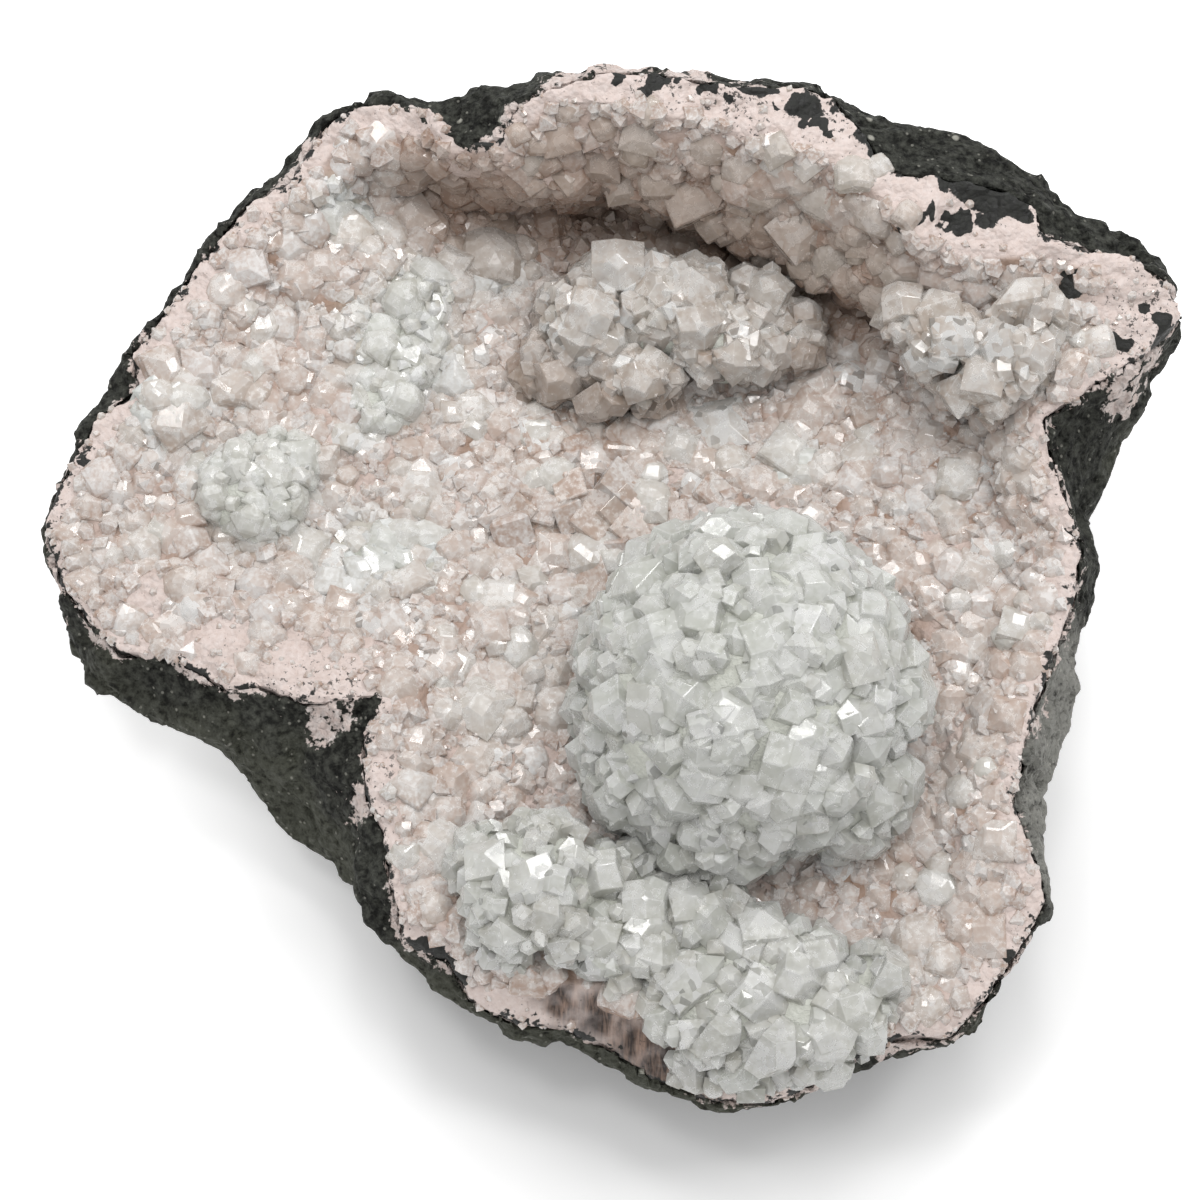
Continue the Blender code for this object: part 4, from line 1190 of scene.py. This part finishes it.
def buriedIn(points, forms, share=0.8):
    # True for points that lie inside the ball or a cluster, where nothing would be seen
    out = np.zeros(len(points), bool)
    for centre, halves in forms:
        away = (points - np.array(blockShift) - np.array(centre)) / np.array(halves)
        out |= (away ** 2).sum(axis=1) < share
    return out


def spacedOut(points, gap, most):
    # The numbers of points, in order, that stand at least gap apart, looked up by cells
    kept, cells = [], {}
    for number, p in enumerate(points):
        key = tuple(int(c // gap) for c in p)
        near = [q for dx in (-1, 0, 1) for dy in (-1, 0, 1) for dz in (-1, 0, 1)
                for q in cells.get((key[0] + dx, key[1] + dy, key[2] + dz), ())]
        if all(((p - points[q]) ** 2).sum() > gap * gap for q in near):
            kept.append(number)
            cells.setdefault(key, []).append(number)
            if len(kept) >= most:
                break
    return np.array(kept, int)


def crustStands(bed, top, rng):
    # Where crystals stand on the crust, size by size
    corners, normals = cornersOf(bed) / mm, normalsOf(bed)
    shelfRadius, radius = ringRadius(corners * mm, "shelf")
    stone = patchesAt(corners * mm, crust["islands"])
    fine = patchesAt(corners * mm, crust["fines"])
    torn = patchesAt(corners * mm, crust["broken"])
    lobes = [lobe for form in clusterForms.values() for lobe in form["lobes"]]
    bare = buriedIn(corners, lobes) | (stone > 0.5) | (torn > 0.4) | (top < 0.6)
    tones = 1 - 0.9 * patchesAt(corners * mm, crust["greens"]) * (1 - fine)
    wander = np.array([noise.noise(Vector(c) / 14.0) for c in corners])
    stainsAndShade = patchesAt(corners * mm, stainedAndShadedWall) * np.clip((80 - corners[:, 2]) / 18, 0, 1)
    rimRadius, _ = ringRadius(corners * mm, "rim")

    def strewn(numbers, widths, rises, lean, lift):
        count = len(numbers)
        width = rng.uniform(*widths, count)
        axis = normals[numbers] + np.array([0, 0, lift]) + rng.uniform(-lean, lean, (count, 3))
        axis /= np.linalg.norm(axis, axis=1)[:, None]
        root = width * 0.5
        tone = np.clip(tones[numbers] - 0.35 * wander[numbers] + rng.uniform(-0.2, 0.2, count), 0, 1)
        return {"foot": corners[numbers] - axis * root[:, None], "axis": axis, "width": width,
                "length": root + width * rng.uniform(*rises, count), "tone": tone,
                "stain": stainsAndShade[numbers] * 0.8}

    groups = {}
    count, gap, widths, rises = crust["medium"]
    inside = shelfRadius - np.where(corners[:, 2] > 62, 3.5, 0.6)
    order = rng.permutation(np.flatnonzero(~bare & (radius < inside) & (fine < 0.5)))
    chosen = order[spacedOut(corners[order], gap, count)]
    opaque = np.arange(len(chosen)) % 10 < 2
    groups["medium"] = strewn(chosen[~opaque], widths, rises, 0.28, 0.3)
    groups["milky"] = strewn(chosen[opaque], widths, rises, 0.28, 0.3)
    count, gap, widths, rises = crust["small"]
    spare = rng.uniform(0, 1, len(corners)) < 0.5
    sugared = (radius < shelfRadius + 0.6) | (spare & (radius < rimRadius - 3) & (corners[:, 2] < 62))
    order = rng.permutation(np.flatnonzero(~bare & sugared & (fine < 0.8)))
    groups["small"] = strewn(order[spacedOut(corners[order], gap, count)], widths, rises, 0.55, 0.15)
    count, gap, widths, rises = crust["micro"]
    spare = rng.uniform(0, 1, len(corners)) < np.where(radius < shelfRadius, 1.0, 0.35)
    order = rng.permutation(np.flatnonzero(~bare & spare))
    groups["micro"] = strewn(order[:count], widths, rises, 0.5, 0.0)
    groups["large"] = largeStands(bed, lobes, rng)
    return groups


def largeStands(bed, lobes, rng):
    # The large crystals, each cast along the camera's sight line onto the crust
    faces = [list(p.vertices) for p in bed.data.polygons]
    surface = BVHTree.FromPolygons([Vector(c) for c in cornersOf(bed) / mm], faces)
    feet, axes, wide, long = [], [], [], []
    grouped = []                    # each large crystal, followed by two smaller ones at its foot
    listed = [(*large, crust["floorSeen"]) for large in crust["larges"]]
    listed += [(*large, crust["wallSeen"]) for large in crust["wallLarges"]]
    for x, y, width, standing, height in listed:
        grouped.append((x, y, width * 0.95, standing * 0.8, height))
        for _ in range(2):
            turn, away = rng.uniform(0, math.tau), rng.uniform(0.45, 0.8) * width
            besideX, besideY = x + away * math.cos(turn), y + away * math.sin(turn)
            grouped.append((besideX, besideY, width * 0.6, standing * 0.6, height))
    rise = math.radians(photoView["elevation"])
    sight = Vector((0, math.cos(rise), -math.sin(rise)))
    for x, y, width, standing, height in grouped:
        start = Vector((x + blockShift[0], y + blockShift[1], height)) - sight * 120
        hit, normal, _, _ = surface.ray_cast(start, sight)
        if hit is None or buriedIn(np.array([hit]), lobes, 0.6)[0]:
            continue
        axis = leaning(np.array(normal) + np.array([0, 0, 0.8]), 0.15, rng)
        feet.append(np.array(hit) - axis * width * 0.4)
        axes.append(axis)
        wide.append(width)
        long.append(width * 0.4 + standing * 0.85)
    stands = standsOf(feet, axes, wide, long, rng.uniform(0.25, 0.75, len(wide)))
    stands["tint"] = rng.uniform(-0.3, 0.9, len(wide))
    # brown tint near the groove: partly stain, partly painted shade
    stands["stain"] = 0.7 * patchesAt(stands["foot"] * mm, stainedAndShadedWall)
    return stands


def buildCrust():
    bed, top = crustSurface()
    bed.data.materials.append(crustBedMaterial())
    rng = np.random.default_rng(7)
    groups = crustStands(bed, top, rng)
    clear = crystalMaterial("pinkCrystals", 150.0, 0.3, 0.42)
    milky = crystalMaterial("milkyCrystals", 170.0, 0.0, 0.42, crystalLook["milkyShade"])
    sugar = crystalMaterial("pinkSugar", 300.0, 0.0, 0.35, crystalLook["milkyShade"])
    crystals = [buildCluster("mounds", crust["mounds"], clear, blockShapes)]
    for size, finish in (("large", clear), ("medium", clear), ("milky", milky)):
        crystals.append(standCrystals(size + "Crystals", blockShapes, groups[size], rng))
        crystals[-1].data.materials.append(finish)
    large = joinPieces("crustCrystals", crystals)
    druse = []
    for size in ("small", "micro"):
        druse.append(standCrystals(size + "Crystals", plainShapes, groups[size], rng))
        druse[-1].data.materials.append(sugar)
    fine = joinPieces("crustDruse", druse)
    for piece in (bed, large, fine):
        finishPiece(piece, "pink_crust", "crystal_crust")


buildCrust()

# The basalt

basalt = {
    "voxel": 1.0,
    "porous": [(99, -28, 16), (96, -44, 11), (101, -14, 9), (95, -58, 8)],
    "speckled": [(118, 50, 14), (122, 62, 8), (-50, -45, 8), (-60, -26, 8), (-8, 110, 8), (6, 111, 9),
                 (20, 110, 9), (33, 108, 8), (48, 107, 5)],
    "smooth": [(73, 94, 15), (90, 87, 9), (-37, 104, 9)],
}


def buildBasalt():
    block = bpy.data.objects.new("basaltBlock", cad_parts["basalt_matrix"].data.copy())
    bpy.context.scene.collection.objects.link(block)
    makeActive(block)
    bpy.ops.object.mode_set(mode="EDIT")
    bpy.ops.mesh.select_all(action="SELECT")
    bpy.ops.mesh.remove_doubles(threshold=0.00001)
    bpy.ops.object.mode_set(mode="OBJECT")
    useModifier(block, "REMESH", mode="VOXEL", voxel_size=basalt["voxel"] * mm)
    corners, normals = cornersOf(block), normalsOf(block)
    inPocket = fromBack(corners) < 2.2
    under = (corners[:, 2] < 1.2 * mm) & (normals[:, 2] < -0.7)
    thinOut(block, inPocket | under)
    corners, normals = cornersOf(block), normalsOf(block)
    away = fromBack(corners)
    shown = np.clip((away - 2.0) / 2.0, 0, 1) * np.clip((corners[:, 2] / mm - 0.8) / 2.5, 0, 1)
    porous = patchesAt(corners, basalt["porous"]) * np.clip((54 - corners[:, 2] / mm) / 6, 0, 1)
    smooth = 1 - 0.75 * patchesAt(corners, basalt["smooth"])
    push = chipsAt(corners, 11.0, 1) * 2.0 * smooth + chipsAt(corners, 4.5, 2) * 0.8 * smooth
    push += noiseAt(corners, 5.0, 3) * 0.5 + noiseAt(corners, 1.9, 4) * 0.28
    push -= pitsAt(corners, 3.4, 5, 0.35) * 0.7 + pitsAt(corners, 3.0, 6, 0.9) * 1.5 * porous
    push = np.clip(push, -2.6, 1.3)
    corners = corners + normals * (push * shown * mm)[:, None]
    corners[:, 2] = np.where(corners[:, 2] < 0.9 * mm, 0.0, corners[:, 2])
    placeCorners(block, corners)
    rimRadius, radius = ringRadius(corners, "rim")
    near = np.clip(1 - np.abs(radius - rimRadius) / 9.0, 0, 1) * np.clip((15 - away) / 8, 0, 1)
    setAttribute(block.data, "rim", near * np.clip((normalsOf(block)[:, 2] + 0.7) / 0.7, 0, 1))
    setAttribute(block.data, "porous", porous)
    speckled = patchesAt(corners, basalt["speckled"]) * np.clip((24 - away) / 12, 0, 1)
    setAttribute(block.data, "speckled", speckled)
    uneven = noiseAt(corners, 22.0, 7) * 16 + noiseAt(corners, 7.0, 8) * 5
    setAttribute(block.data, "low", np.clip((38 + uneven - corners[:, 2] / mm) / 7, 0, 1))
    block.data.materials.clear()
    block.data.materials.append(basaltMaterial())
    finishPiece(block, "basalt", "basalt_matrix")


def basaltMaterial():
    look = basaltLook
    made, tree, shader, place = startMaterial("basalt")
    rim, porous = attributeNode(tree, "rim"), attributeNode(tree, "porous")
    speckled, low = attributeNode(tree, "speckled"), attributeNode(tree, "low")
    grain = groupNode(tree, grainGroup, place, Scale=520.0)
    tone = grain.outputs["Tone"]
    broad = noiseNode(tree, place, 60.0, 4.0, 0.6)
    body = mixColour(tree, rangeNode(tree, broad, 0.35, 0.65), look["dark"], look["grey"])
    body = mixColour(tree, times(tree, low, 0.8), body, look["green"])
    body = mixColour(tree, times(tree, porous, 0.85), body, look["porous"])
    body = mixColour(tree, rangeNode(tree, tone, 0.40, 0.75, 0.0, 0.5), body, look["pale"])
    body = mixColour(tree, rangeNode(tree, tone, 0.46, 0.30, 0.0, 0.8), body, look["dark"])
    small = groupNode(tree, fleckGroup, place, Scale=950.0, Share=0.07)
    body = mixColour(tree, times(tree, small.outputs["Mask"], 0.35), body, look["fleck"])
    large = groupNode(tree, fleckGroup, place, Scale=420.0, Share=0.02)
    body = mixColour(tree, times(tree, large.outputs["Mask"], 0.7), body, look["fleck"])
    near = times(tree, mathNode(tree, "MAXIMUM", rim, speckled), 0.5)
    ragged = plus(tree, near, noiseNode(tree, place, 170.0, 3.0, 0.6))
    ragged = plus(tree, ragged, times(tree, noiseNode(tree, place, 620.0, 4.0, 0.7), 0.5))
    frosted = rangeNode(tree, ragged, 1.17, 1.21)
    frost = mixColour(tree, rangeNode(tree, tone, 0.35, 0.65), crust["pink"], look["frost"])
    body = mixColour(tree, frosted, body, frost)
    wire(tree, body, shader.inputs["Base Color"])
    wire(tree, rangeNode(tree, tone, 0.3, 0.7, 0.95, 0.65), shader.inputs["Roughness"])
    shader.inputs["Specular IOR Level"].default_value = 0.2
    relief = times(tree, noiseNode(tree, place, 230.0, 3.0, 0.6), 2.2)
    bumpInto(tree, shader, plus(tree, grain.outputs["Height"], relief), 1.0, 0.0011)
    return made


buildBasalt()
